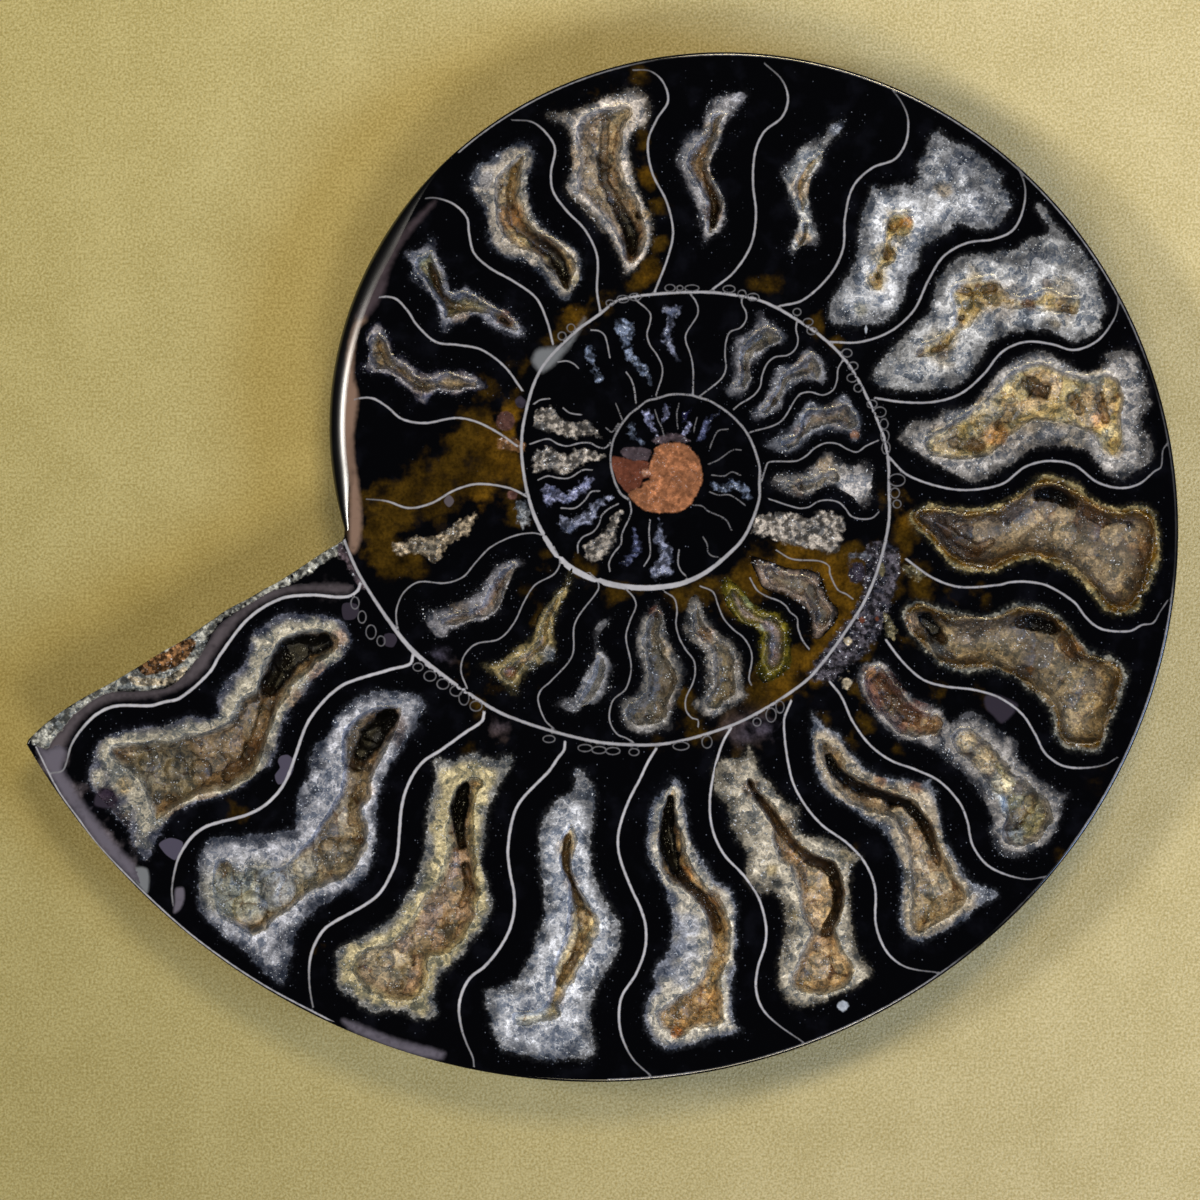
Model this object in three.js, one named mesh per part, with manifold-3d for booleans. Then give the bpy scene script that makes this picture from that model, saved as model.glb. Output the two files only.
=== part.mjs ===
// Cleoniceras ammonite: one half of a shell sawn along its middle plane, lying with the polished cut up.
// Millimetres, +Z up, the cut faces up and the domed back of the shell rests on the floor.
import * as THREE from 'three';
import Module from 'manifold-3d';
import { mergeVertices } from 'three/addons/utils/BufferGeometryUtils.js';

const wasm = await Module();
wasm.setup();

// Size of the coil
const COIL_RADIUS = 48.085; // outer radius of the coil where its bearing is COIL_START
const COIL_START = 340; // degrees
const COIL_GROWTH = 0.1228; // growth of the radius for each radian
const TIP_BEARING = 516.9; // where the last turn ends at the outer edge
const CORNER_BEARING = 169.5; // where the broken end meets the turn before it
const FULL_TURN = 360;
const TURNS_SEEN = 4; // turns that show in the umbilicus of the back

// Thickness of the half
const HALF_WIDTH = 16; // half of the width of a wide turn
const WIDTH_REACH = 24; // coil radius over which a turn grows to that width
const REST_DEPTH = 14.9; // the flank is flat at this depth under the cut
const CORE_DEPTH = 3; // least depth at the very centre
const RIM_DEPTH = 0.9; // upright strip along the outer edge
const CREST = 0.5; // share of the coil radius where a turn is widest
const SHOULDER = 0.3; // share where the umbilical wall begins
const SHOULDER_DROP = 0.07;
const SEAM = 0.19; // share where a turn meets the one inside it

// Edge of the cut
const EDGE_WIDTH = 0.25; // fine polished edge all round
const EDGE_DEPTH = 0.2;
const BEVEL_WIDTH = 2.3; // wide rounded bevel on the left side
const BEVEL_DEPTH = 1.1;
const BEVEL_FROM = 166; // bearings where the bevel grows in and fades out
const BEVEL_FULL_FROM = 180;
const BEVEL_FULL_TO = 216;
const BEVEL_TO = 236;

// Steps of the body
const COLUMN_STEP = 4.8; // degrees between two columns
const FIRST_STEP = 0.25; // share of a step between the corner and the first column past it
const RINGS = [0.05, 0.1, 0.15, SEAM, 0.225, 0.26, SHOULDER, 0.4, 0.52, 0.64, 0.75, 0.84, 0.91, 0.96, 0.988, 1];

// Crystal linings
const FIT_GAP = 0.35; // between a lining and its pocket
const OVERCUT = 1; // how far a cutter stands above the cut
const BOWL_TAPER = 0.15; // how far the floor of a bowl is set in from its mouth

// Outlines on the cut are read in tenths of a millimetre, across from the left and down from the top
const READING = 0.1;
const CENTRE_READING = [672.8, 468.9]; // centre of the coil

// Broken end of the last turn, from the tip to the corner
const BROKEN_END = [
  [50, 719], [97, 690], [135, 668], [181, 641], [226, 610], [260, 591], [310, 560], [340, 541], [344, 533],
];

// Colours
const BLACK_CALCITE = 0x0b0b10;
const WHITE_CRYSTAL = 0xc9cdd2;
const CREAM_CRYSTAL = 0xcdbb93;
const TAN_CRYSTAL = 0xa08a6c;
const GREY_CRYSTAL = 0x9c9a94;
const OCHRE_CRYSTAL = 0x93743f;

// Hollows of the last turn, from the broken end inwards: outline of the lining and mouth of its bowl
const LAST_TURN = [
  {
    tint: GREY_CRYSTAL, depth: 6.2, bowl: 3.8, taper: 1.2,
    outline: [
      [350, 640], [341, 622], [296, 613], [269, 622], [250, 637], [241, 669], [221, 688], [209, 720],
      [169, 724], [116, 732], [95, 752], [90, 785], [114, 812], [147, 859], [162, 830], [196, 802],
      [242, 786], [271, 765], [290, 712], [322, 672],
    ],
    mouth: [
      [272, 654], [309, 630], [336, 637], [315, 664], [277, 712], [252, 772], [204, 794], [156, 820],
      [135, 785], [111, 755], [170, 742], [225, 728], [256, 698],
    ],
  },
  {
    tint: WHITE_CRYSTAL, depth: 6.2, bowl: 3.8, taper: 1.2,
    outline: [
      [354, 701], [389, 691], [424, 702], [406, 740], [384, 778], [376, 817], [373, 860], [350, 887],
      [304, 921], [293, 948], [285, 983], [252, 959], [214, 926], [198, 892], [201, 849], [236, 836],
      [295, 829], [298, 796], [312, 753], [338, 715],
    ],
    mouth: [
      [370, 710], [401, 710], [379, 764], [365, 807], [368, 844], [334, 881], [287, 911], [252, 934],
      [214, 900], [218, 855], [284, 865], [334, 809], [341, 761],
    ],
  },
  {
    tint: CREAM_CRYSTAL, depth: 6.2, bowl: 3.8, taper: 1.2,
    outline: [
      [434, 758], [472, 754], [512, 758], [494, 794], [482, 852], [490, 910], [463, 953], [439, 975],
      [437, 1012], [414, 1017], [369, 1010], [343, 993], [336, 964], [370, 934], [397, 913], [421, 865],
      [427, 820], [437, 772],
    ],
    mouth: [
      [459, 785], [483, 786], [467, 830], [474, 894], [455, 940], [423, 964], [404, 999], [356, 980],
      [370, 948], [416, 913], [441, 850], [448, 807],
    ],
  },
  {
    tint: WHITE_CRYSTAL, depth: 5, bowl: 3, taper: 1.1,
    outline: [
      [577, 770], [594, 790], [590, 832], [594, 870], [610, 906], [619, 941], [595, 991], [590, 1023],
      [594, 1054], [549, 1060], [508, 1052], [493, 1030], [486, 993], [520, 976], [538, 939], [545, 894],
      [539, 845], [555, 803],
    ],
    mouth: [
      [571, 821], [576, 842], [594, 909], [587, 953], [562, 1018], [516, 1020], [554, 982], [572, 919],
      [560, 851],
    ],
  },
  {
    tint: WHITE_CRYSTAL, depth: 6.2, bowl: 3.8, taper: 1.1,
    outline: [
      [677, 778], [687, 827], [699, 856], [733, 894], [735, 962], [730, 994], [740, 1030], [677, 1047],
      [650, 1033], [645, 1008], [670, 950], [671, 911], [655, 868], [648, 840], [653, 802],
    ],
    mouth: [
      [673, 791], [684, 836], [723, 904], [727, 953], [722, 1022], [677, 1037], [665, 1012], [698, 950],
      [690, 890], [660, 845],
    ],
  },
  {
    tint: CREAM_CRYSTAL, depth: 5.4, bowl: 3.4, taper: 1.1,
    outline: [
      [718, 761], [748, 748], [774, 790], [800, 810], [796, 827], [830, 839], [861, 858], [849, 890],
      [856, 950], [871, 972], [837, 996], [793, 1004], [779, 962], [785, 909], [759, 893], [747, 856],
      [725, 802],
    ],
    mouth: [
      [748, 777], [774, 812], [803, 848], [838, 885], [840, 950], [849, 980], [800, 994], [803, 940],
      [779, 856], [754, 800],
    ],
  },
  {
    tint: CREAM_CRYSTAL, depth: 5.4, bowl: 3.4, taper: 1,
    outline: [
      [812, 712], [837, 734], [869, 771], [931, 781], [939, 808], [959, 865], [996, 893], [963, 920],
      [922, 940], [900, 922], [902, 875], [886, 836], [847, 804], [816, 771],
    ],
    mouth: [
      [824, 743], [847, 773], [914, 800], [946, 869], [967, 896], [935, 921], [910, 916], [909, 874],
      [892, 829], [841, 790],
    ],
  },
  {
    tint: GREY_CRYSTAL, depth: 5, bowl: 3, taper: 0.9,
    outline: [
      [859, 667], [882, 661], [914, 698], [951, 722], [984, 718], [1016, 740], [1037, 775], [1069, 795],
      [1053, 836], [1020, 857], [990, 834], [980, 793], [939, 753], [898, 736], [861, 691],
    ],
    mouth: [
      [872, 680], [903, 709], [946, 733], [976, 735], [1015, 775], [1050, 805], [1040, 833], [1010, 836],
      [1000, 800], [958, 752], [895, 722],
    ],
  },
  {
    tint: TAN_CRYSTAL, depth: 5.2, bowl: 3.6, taper: 1,
    outline: [
      [903, 613], [926, 602], [963, 614], [1004, 610], [1045, 608], [1084, 647], [1127, 673], [1116, 710],
      [1099, 749], [1062, 744], [1048, 706], [1017, 678], [972, 671], [937, 661], [907, 628],
    ],
    mouth: [
      [918, 618], [950, 620], [1010, 619], [1045, 622], [1083, 660], [1112, 685], [1098, 730], [1070, 736],
      [1055, 700], [1020, 668], [945, 652],
    ],
  },
  {
    tint: TAN_CRYSTAL, depth: 5.2, bowl: 3.6, taper: 1,
    outline: [
      [911, 513], [950, 506], [996, 505], [1038, 478], [1081, 489], [1120, 508], [1155, 514], [1160, 555],
      [1144, 594], [1117, 615], [1085, 585], [1044, 561], [993, 571], [949, 563], [916, 527],
    ],
    mouth: [
      [925, 519], [1000, 515], [1042, 489], [1080, 500], [1116, 517], [1148, 522], [1148, 560], [1134, 590],
      [1116, 602], [1090, 578], [1045, 552], [990, 562], [950, 552],
    ],
  },
  {
    tint: CREAM_CRYSTAL, depth: 4.8, bowl: 3, taper: 1,
    outline: [
      [901, 438], [915, 421], [953, 409], [984, 389], [1010, 361], [1040, 352], [1092, 371], [1117, 350],
      [1141, 365], [1151, 405], [1142, 422], [1153, 447], [1115, 479], [1080, 448], [1036, 447],
      [985, 478], [944, 469],
    ],
    mouth: [
      [940, 440], [975, 408], [1015, 375], [1060, 385], [1110, 395], [1122, 438], [1080, 430], [1030, 430],
      [985, 455],
    ],
  },
  {
    tint: WHITE_CRYSTAL, depth: 4.2, bowl: 2.4, taper: 0.8,
    outline: [
      [872, 377], [892, 347], [930, 309], [945, 270], [984, 253], [1030, 239], [1036, 206], [1066, 234],
      [1098, 275], [1106, 310], [1079, 341], [1032, 329], [990, 343], [957, 383], [893, 390],
    ],
    mouth: [
      [905, 357], [950, 318], [985, 283], [1040, 283], [1078, 298], [1070, 318], [1010, 305], [965, 335],
      [925, 360],
    ],
  },
  {
    tint: WHITE_CRYSTAL, depth: 4.2, bowl: 2.4, taper: 0.8,
    outline: [
      [830, 309], [844, 325], [892, 317], [908, 277], [934, 240], [985, 229], [1010, 195], [991, 165],
      [937, 131], [919, 162], [913, 184], [873, 187], [860, 232], [842, 285],
    ],
    mouth: [[870, 288], [884, 245], [896, 215], [940, 188], [918, 226], [893, 270]],
  },
  {
    tint: GREY_CRYSTAL, depth: 3.4, bowl: 2.2, taper: 0.3,
    outline: [
      [781, 173], [800, 147], [829, 125], [846, 120], [825, 149], [809, 187], [819, 235], [792, 254],
      [797, 213],
    ],
    mouth: [[793, 186], [814, 155], [803, 190], [811, 230], [800, 240], [803, 210]],
  },
  {
    tint: TAN_CRYSTAL, depth: 4, bowl: 2.8, taper: 0.4,
    outline: [
      [678, 155], [701, 128], [711, 99], [748, 97], [722, 136], [710, 170], [726, 210], [704, 246],
      [700, 222], [682, 174],
    ],
    mouth: [[688, 158], [711, 124], [712, 140], [704, 166], [717, 208], [707, 230], [706, 205]],
  },
  {
    tint: TAN_CRYSTAL, depth: 4.8, bowl: 3.4, taper: 0.9,
    outline: [
      [547, 114], [584, 106], [638, 88], [650, 112], [630, 150], [641, 191], [653, 230], [627, 276],
      [606, 237], [566, 188], [572, 140],
    ],
    mouth: [[580, 122], [622, 112], [621, 160], [643, 228], [628, 262], [604, 205], [580, 180]],
  },
  {
    tint: OCHRE_CRYSTAL, depth: 4.4, bowl: 3, taper: 0.7,
    outline: [
      [470, 185], [491, 159], [522, 142], [535, 154], [528, 191], [555, 236], [582, 263], [570, 298],
      [539, 273], [498, 250], [485, 212],
    ],
    mouth: [[497, 182], [520, 157], [519, 197], [570, 262], [566, 286], [530, 252], [500, 222]],
  },
  {
    tint: GREY_CRYSTAL, depth: 3.8, bowl: 2.6, taper: 0.4,
    outline: [
      [405, 254], [434, 238], [450, 288], [484, 298], [525, 327], [514, 337], [482, 319], [441, 331],
      [424, 290],
    ],
    mouth: [[418, 260], [430, 252], [444, 296], [484, 306], [505, 324], [480, 313], [445, 320], [431, 286]],
  },
  {
    tint: GREY_CRYSTAL, depth: 3.4, bowl: 2.2, taper: 0.4,
    outline: [
      [365, 338], [378, 322], [395, 356], [435, 369], [487, 385], [448, 394], [419, 402], [391, 375],
      [361, 364],
    ],
    mouth: [[372, 345], [379, 340], [396, 368], [455, 382], [425, 393], [392, 368], [370, 358]],
  },
];

// Hollows of the turn before it
const INNER_TURN = [
  {
    tint: GREY_CRYSTAL, depth: 3.2, bowl: 2, taper: 0.3,
    outline: [[420, 608], [462, 600], [484, 579], [524, 560], [501, 602], [463, 627], [436, 637]],
    mouth: [[434, 620], [475, 606], [505, 573], [490, 601], [455, 621]],
  },
  {
    tint: OCHRE_CRYSTAL, depth: 3.2, bowl: 2, taper: 0.3,
    outline: [[572, 568], [550, 600], [527, 641], [480, 665], [512, 695], [529, 673], [555, 662], [558, 611]],
    mouth: [[557, 597], [541, 634], [503, 668], [512, 681], [540, 655], [549, 632]],
  },
  {
    tint: WHITE_CRYSTAL, depth: 2.8, bowl: 1.6, taper: 0.2,
    outline: [
      [606, 614], [593, 637], [590, 664], [573, 697], [556, 706], [578, 713], [609, 690], [614, 666],
      [603, 642],
    ],
    mouth: [[598, 638], [597, 664], [575, 704], [603, 687], [608, 666]],
  },
  {
    tint: TAN_CRYSTAL, depth: 3.4, bowl: 2, taper: 0.4,
    outline: [
      [659, 603], [636, 630], [642, 679], [618, 713], [639, 734], [672, 729], [676, 699], [686, 672],
      [667, 626],
    ],
    mouth: [[657, 613], [644, 636], [650, 690], [630, 718], [664, 712], [674, 672]],
  },
  {
    tint: GREY_CRYSTAL, depth: 3.4, bowl: 2, taper: 0.4,
    outline: [
      [694, 595], [685, 627], [704, 653], [706, 686], [693, 706], [721, 715], [746, 697], [740, 654],
      [713, 628],
    ],
    mouth: [[697, 608], [693, 625], [713, 655], [715, 690], [708, 704], [737, 690], [731, 655], [706, 630]],
  },
  {
    tint: OCHRE_CRYSTAL, depth: 3, bowl: 1.8, taper: 0.3,
    outline: [[723, 580], [744, 592], [781, 615], [792, 657], [765, 683], [758, 644], [733, 615]],
    mouth: [[733, 592], [775, 621], [784, 655], [768, 672], [766, 637], [740, 611]],
  },
  {
    tint: CREAM_CRYSTAL, depth: 3, bowl: 1.8, taper: 0.3,
    outline: [[752, 556], [791, 569], [818, 574], [838, 610], [819, 639], [808, 612], [773, 593]],
    mouth: [[764, 564], [811, 581], [829, 611], [818, 626], [814, 602], [778, 587]],
  },
  {
    tint: GREY_CRYSTAL, depth: 2.8, bowl: 1.6, taper: 0.2,
    outline: [[759, 311], [743, 335], [731, 353], [728, 396], [749, 389], [757, 360], [787, 337]],
    mouth: [[759, 322], [739, 354], [736, 386], [744, 382], [751, 353], [776, 335]],
  },
  {
    tint: GREY_CRYSTAL, depth: 2.8, bowl: 1.6, taper: 0.2,
    outline: [[807, 348], [782, 364], [756, 409], [772, 416], [793, 388], [823, 386], [820, 356]],
    mouth: [[806, 356], [788, 369], [764, 405], [770, 409], [790, 379], [817, 376]],
  },
  {
    tint: GREY_CRYSTAL, depth: 2.8, bowl: 1.6, taper: 0.2,
    outline: [[842, 393], [803, 406], [764, 446], [799, 449], [825, 432], [858, 440], [862, 417]],
    mouth: [[840, 401], [807, 414], [779, 441], [796, 442], [822, 423], [850, 428]],
  },
  {
    tint: WHITE_CRYSTAL, depth: 2.8, bowl: 1.6, taper: 0.2,
    outline: [[823, 454], [794, 473], [774, 485], [810, 496], [863, 509], [873, 486], [866, 462]],
    mouth: [[824, 463], [800, 478], [788, 484], [812, 489], [842, 487], [846, 472]],
  },
];

const RADIAN = Math.PI / 180;

function paint(color, roughness, metalness) {
  return new THREE.MeshStandardMaterial({ color, roughness, metalness });
}

function smoothStep(from, to, value) {
  return THREE.MathUtils.smoothstep(value, from, to);
}

function place([across, down]) {
  return new THREE.Vector2((across - CENTRE_READING[0]) * READING, (CENTRE_READING[1] - down) * READING);
}

// Bearings turn clockwise from +X, seen from above the cut
function bearingOf(point) {
  const degrees = -Math.atan2(point.y, point.x) / RADIAN;
  return degrees < 0 ? degrees + FULL_TURN : degrees;
}

function coilRadius(bearing) {
  return COIL_RADIUS * Math.exp(COIL_GROWTH * (bearing - COIL_START) * RADIAN);
}

// Share of the half width that a turn has at a share of its outer radius
function flank(share) {
  if (share >= 1) return 0;
  if (share > CREST) return Math.sqrt(1 - ((share - CREST) / (1 - CREST)) ** 3);
  if (share > SHOULDER) return 1 - SHOULDER_DROP * ((CREST - share) / (CREST - SHOULDER)) ** 2;
  if (share > SEAM) return (1 - SHOULDER_DROP) * Math.sin((Math.PI / 2) * ((share - SEAM) / (SHOULDER - SEAM)));
  return 0;
}

// Depth of the back under the cut, at a radius along the bearing of the newest turn there
function backDepth(radius, bearing) {
  let depth = CORE_DEPTH;
  for (let turn = 0; turn < TURNS_SEEN; turn += 1) {
    const outer = coilRadius(bearing - turn * FULL_TURN);
    const width = HALF_WIDTH * Math.tanh(outer / WIDTH_REACH);
    depth = Math.max(depth, width * flank(radius / outer));
  }
  return Math.min(depth, REST_DEPTH);
}

// Columns of the body: bearing on the plan, bearing of the newest turn, and radius of the outer edge
function bodyColumns() {
  const columns = [{ bearing: TIP_BEARING - FULL_TURN, newest: TIP_BEARING, edge: coilRadius(TIP_BEARING) }];
  for (const reading of BROKEN_END) {
    const point = place(reading);
    const bearing = bearingOf(point);
    columns.push({ bearing, newest: bearing + FULL_TURN, edge: point.length() });
  }
  const count = Math.round((TIP_BEARING - CORNER_BEARING) / COLUMN_STEP);
  const step = (TIP_BEARING - CORNER_BEARING) / count;
  for (let index = 0; index < count; index += 1) {
    const bearing = CORNER_BEARING + step * (index + FIRST_STEP);
    columns.push({ bearing, newest: bearing, edge: coilRadius(bearing) });
  }
  return columns;
}

function bevelShare(bearing) {
  return smoothStep(BEVEL_FROM, BEVEL_FULL_FROM, bearing) * (1 - smoothStep(BEVEL_FULL_TO, BEVEL_TO, bearing));
}

function planPoint(bearing, radius, height) {
  return [radius * Math.cos(bearing * RADIAN), -radius * Math.sin(bearing * RADIAN), height];
}

// Heights and radii of one column, from the centre of the back out to the edge and in over the cut
function columnPoints({ bearing, newest, edge }) {
  const outer = coilRadius(newest);
  const shoulder = outer * SHOULDER;
  const points = RINGS.map((ring) => {
    const outside = (ring - SHOULDER) / (1 - SHOULDER);
    const radius = ring <= SHOULDER ? outer * ring : shoulder + (edge - shoulder) * outside;
    return planPoint(bearing, radius, -Math.max(backDepth(radius, newest), RIM_DEPTH + BEVEL_DEPTH));
  });
  const bevel = bevelShare(bearing);
  const edgeWidth = THREE.MathUtils.lerp(EDGE_WIDTH, BEVEL_WIDTH, bevel);
  const edgeDepth = THREE.MathUtils.lerp(EDGE_DEPTH, BEVEL_DEPTH, bevel);
  points.push(planPoint(bearing, edge, -edgeDepth));
  points.push(planPoint(bearing, edge - edgeWidth, 0));
  return points;
}

function solidFrom(vertices, triangles) {
  const vertProperties = new Float32Array(vertices.flat());
  const triVerts = new Uint32Array(triangles.flat());
  return new wasm.Manifold(new wasm.Mesh({ numProp: 3, vertProperties, triVerts }));
}

// Half shell before its pockets: a net of columns round the centre of the back, closed over the cut
function shellBody() {
  const columns = bodyColumns().map(columnPoints);
  const rows = columns[0].length;
  const vertices = [planPoint(0, 0, -CORE_DEPTH), planPoint(0, 0, 0)];
  columns.forEach((column) => vertices.push(...column));
  const index = (column, row) => 2 + (column % columns.length) * rows + row;
  const triangles = [];
  for (let column = 0; column < columns.length; column += 1) {
    const next = column + 1;
    triangles.push([0, index(column, 0), index(next, 0)]);
    for (let row = 0; row < rows - 1; row += 1) {
      triangles.push([index(column, row), index(column, row + 1), index(next, row + 1)]);
      triangles.push([index(column, row), index(next, row + 1), index(next, row)]);
    }
    triangles.push([1, index(next, rows - 1), index(column, rows - 1)]);
  }
  return solidFrom(vertices, triangles);
}

function anticlockwise(points) {
  return THREE.ShapeUtils.isClockWise(points) ? points.slice().reverse() : points;
}

// Outline moved outwards by a distance, or inwards by a negative one
function moved(points, distance) {
  const sharpest = 0.5; // keeps a pointed tip from running far
  return points.map((point, index) => {
    const before = points[(index + points.length - 1) % points.length];
    const after = points[(index + 1) % points.length];
    const arriving = point.clone().sub(before).normalize();
    const leaving = after.clone().sub(point).normalize();
    const normal = new THREE.Vector2(arriving.y + leaving.y, -arriving.x - leaving.x).normalize();
    const share = Math.max(normal.x * arriving.y - normal.y * arriving.x, sharpest);
    return point.clone().addScaledVector(normal, distance / share);
  });
}

// Solid between two outlines of as many points, one above the other
function tapered(upper, top, lower, bottom) {
  const count = upper.length;
  const vertices = [
    ...upper.map((point) => [point.x, point.y, top]),
    ...lower.map((point) => [point.x, point.y, bottom]),
  ];
  const triangles = [];
  for (const [a, b, c] of THREE.ShapeUtils.triangulateShape(upper, [])) {
    triangles.push([a, b, c], [count + a, count + c, count + b]);
  }
  for (let index = 0; index < count; index += 1) {
    const next = (index + 1) % count;
    triangles.push([index, count + index, count + next]);
    triangles.push([index, count + next, next]);
  }
  return solidFrom(vertices, triangles);
}

// Solid that tapers from its outline on the cut down to a depth, and stands above the cut by a height
function plug(outline, depth, taper, above) {
  const sink = tapered(outline, 0, moved(outline, -taper), -depth);
  return above > 0 ? sink.add(tapered(outline, above, outline, 0)) : sink;
}

function pocket({ outline, depth, taper }) {
  const wide = moved(anticlockwise(outline.map(place)), FIT_GAP);
  return plug(wide, depth + FIT_GAP, taper, OVERCUT);
}

// Crystal lining of a hollow: one crust with a bowl in its top
function lining({ outline, mouth, depth, bowl, taper }) {
  const crust = plug(anticlockwise(outline.map(place)), depth, taper, 0);
  return crust.subtract(plug(anticlockwise(mouth.map(place)), bowl, BOWL_TAPER, OVERCUT));
}

function meshFrom(solid, name, material) {
  const { vertProperties, triVerts } = solid.getMesh();
  const geometry = new THREE.BufferGeometry();
  geometry.setAttribute('position', new THREE.BufferAttribute(new Float32Array(vertProperties), 3));
  geometry.setIndex(new THREE.BufferAttribute(new Uint32Array(triVerts), 1));
  const clean = mergeVertices(geometry);
  clean.computeVertexNormals();
  const mesh = new THREE.Mesh(clean, material);
  mesh.name = name;
  return mesh;
}

function fossil(hollows) {
  const solid = hollows.reduce((body, hollow) => body.subtract(pocket(hollow)), shellBody());
  return meshFrom(solid, 'fossil', paint(BLACK_CALCITE, 0.25, 0));
}

function linings(hollows) {
  return hollows.map((hollow, index) => {
    const number = String(index + 1).padStart(2, '0');
    return meshFrom(lining(hollow), `crystals_${number}`, paint(hollow.tint, 0.5, 0));
  });
}

const hollows = [...LAST_TURN, ...INNER_TURN];
const ammonite = new THREE.Group();
ammonite.name = 'ammonite';
ammonite.add(fossil(hollows), ...linings(hollows));

// The back stands on the floor, and the middle of the outline is over the origin
const box = new THREE.Box3().setFromObject(ammonite);
ammonite.position.set(-(box.min.x + box.max.x) / 2, -(box.min.y + box.max.y) / 2, -box.min.z);

export default ammonite;
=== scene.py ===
# Half of a cleoniceras ammonite, sawn along its middle plane and polished, lying with the cut up.
# The cut is modelled in tenths of a millimetre, and becomes metres when a mesh is made.
import math

import bpy
import numpy as np
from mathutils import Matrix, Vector, kdtree
from mathutils.geometry import delaunay_2d_cdt


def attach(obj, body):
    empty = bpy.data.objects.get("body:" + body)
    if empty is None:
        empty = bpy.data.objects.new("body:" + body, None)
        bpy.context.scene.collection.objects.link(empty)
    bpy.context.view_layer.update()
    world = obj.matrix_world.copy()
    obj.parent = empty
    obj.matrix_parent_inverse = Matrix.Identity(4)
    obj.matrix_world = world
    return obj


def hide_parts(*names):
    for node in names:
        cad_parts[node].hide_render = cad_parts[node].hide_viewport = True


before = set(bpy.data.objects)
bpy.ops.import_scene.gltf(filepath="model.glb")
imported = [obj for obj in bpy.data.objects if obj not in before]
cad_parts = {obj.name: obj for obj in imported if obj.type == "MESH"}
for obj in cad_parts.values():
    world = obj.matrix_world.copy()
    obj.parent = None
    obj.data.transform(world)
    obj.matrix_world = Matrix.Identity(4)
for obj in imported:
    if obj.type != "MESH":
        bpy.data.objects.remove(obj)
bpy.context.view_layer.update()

TENTH = 1e-4
MIDDLE = (672.8, 468.9)  # centre of the coil as read on the cut, across and down
COIL = (70.347, 98.029)  # the same centre in the frame
CUT = 149  # height of the cut over the floor

# The coil, as in the body of the part. Bearings are clockwise from +X in degrees, and grow with each turn
COIL_START = 340
COIL_RADIUS = 480.85  # outer radius at the start
COIL_GROWTH = 0.1228  # share by which it grows in each radian
TIP_BEARING = 516.9  # outer end of the last turn
CORNER_BEARING = 169.5  # inner end of the break, a turn before the tip
FULL_TURN = 360
TURNS_SEEN = 4
HALF_WIDTH = 160  # half width that a wide turn comes near
WIDTH_REACH = 240  # outer radius at which a turn has three quarters of it
REST_DEPTH = 149  # where the back lies flat on the floor
CORE_DEPTH = 30  # least depth in the umbilicus
RIM_DEPTH = 20  # least depth at the edge

# Flank of a turn, in shares of its outer radius
CREST = 0.5  # widest part
SHOULDER = 0.3  # where the wall of the umbilicus begins
SHOULDER_DROP = 0.07  # share of the width lost there
SEAM = 0.19  # where the next turn inwards begins

# Rounded edge of the cut
EDGE_WIDTH = 2.5  # all round
EDGE_DEPTH = 2
BEVEL_WIDTH = 23  # beside the break
BEVEL_DEPTH = 11
BEVEL_SPAN = (166, 180, 216, 236)  # bearings where the wide bevel grows in and fades out

# Broken end of the last turn, from the corner to the tip
BROKEN_END = """344,533 340,541 325,550 280,580 260,591 249,598 226,610 181,641 161,652 119,678 79,700
50,719 27,740"""

# Shell wall between the turns, from the corner inwards
WALL = """342,535 360,576 400,636 424,661 472,696 510,717 587,740 638,745 676,742 730,726 761,711
791,692 814,673 852,622 870,590 882,555 889,520 889,494 888,459 881,429 853,371 830,344 799,321 764,302
734,295 700,292 657,294 619,300 600,314 574,333 540,371 524,421 522,459 532,509 551,547 574,570 620,586
670,586 703,574 736,547 748,530 759,500 759.4,482 759,464 748,435 732,416 710,401 700,398 690,395
671,394.5 657,398.5 647,401 638,408 628,416 615,436 611,452 611,466 615,482 621,494 628,499"""

# Pale line along the outer edge beside the broken end: partly the shell wall, partly a painted highlight on
# the edge
EDGE_SHELL_AND_HIGHLIGHT = "36,747 58,790 78,818 99,846 150,898 198,940 262,984 335,1023"

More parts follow.
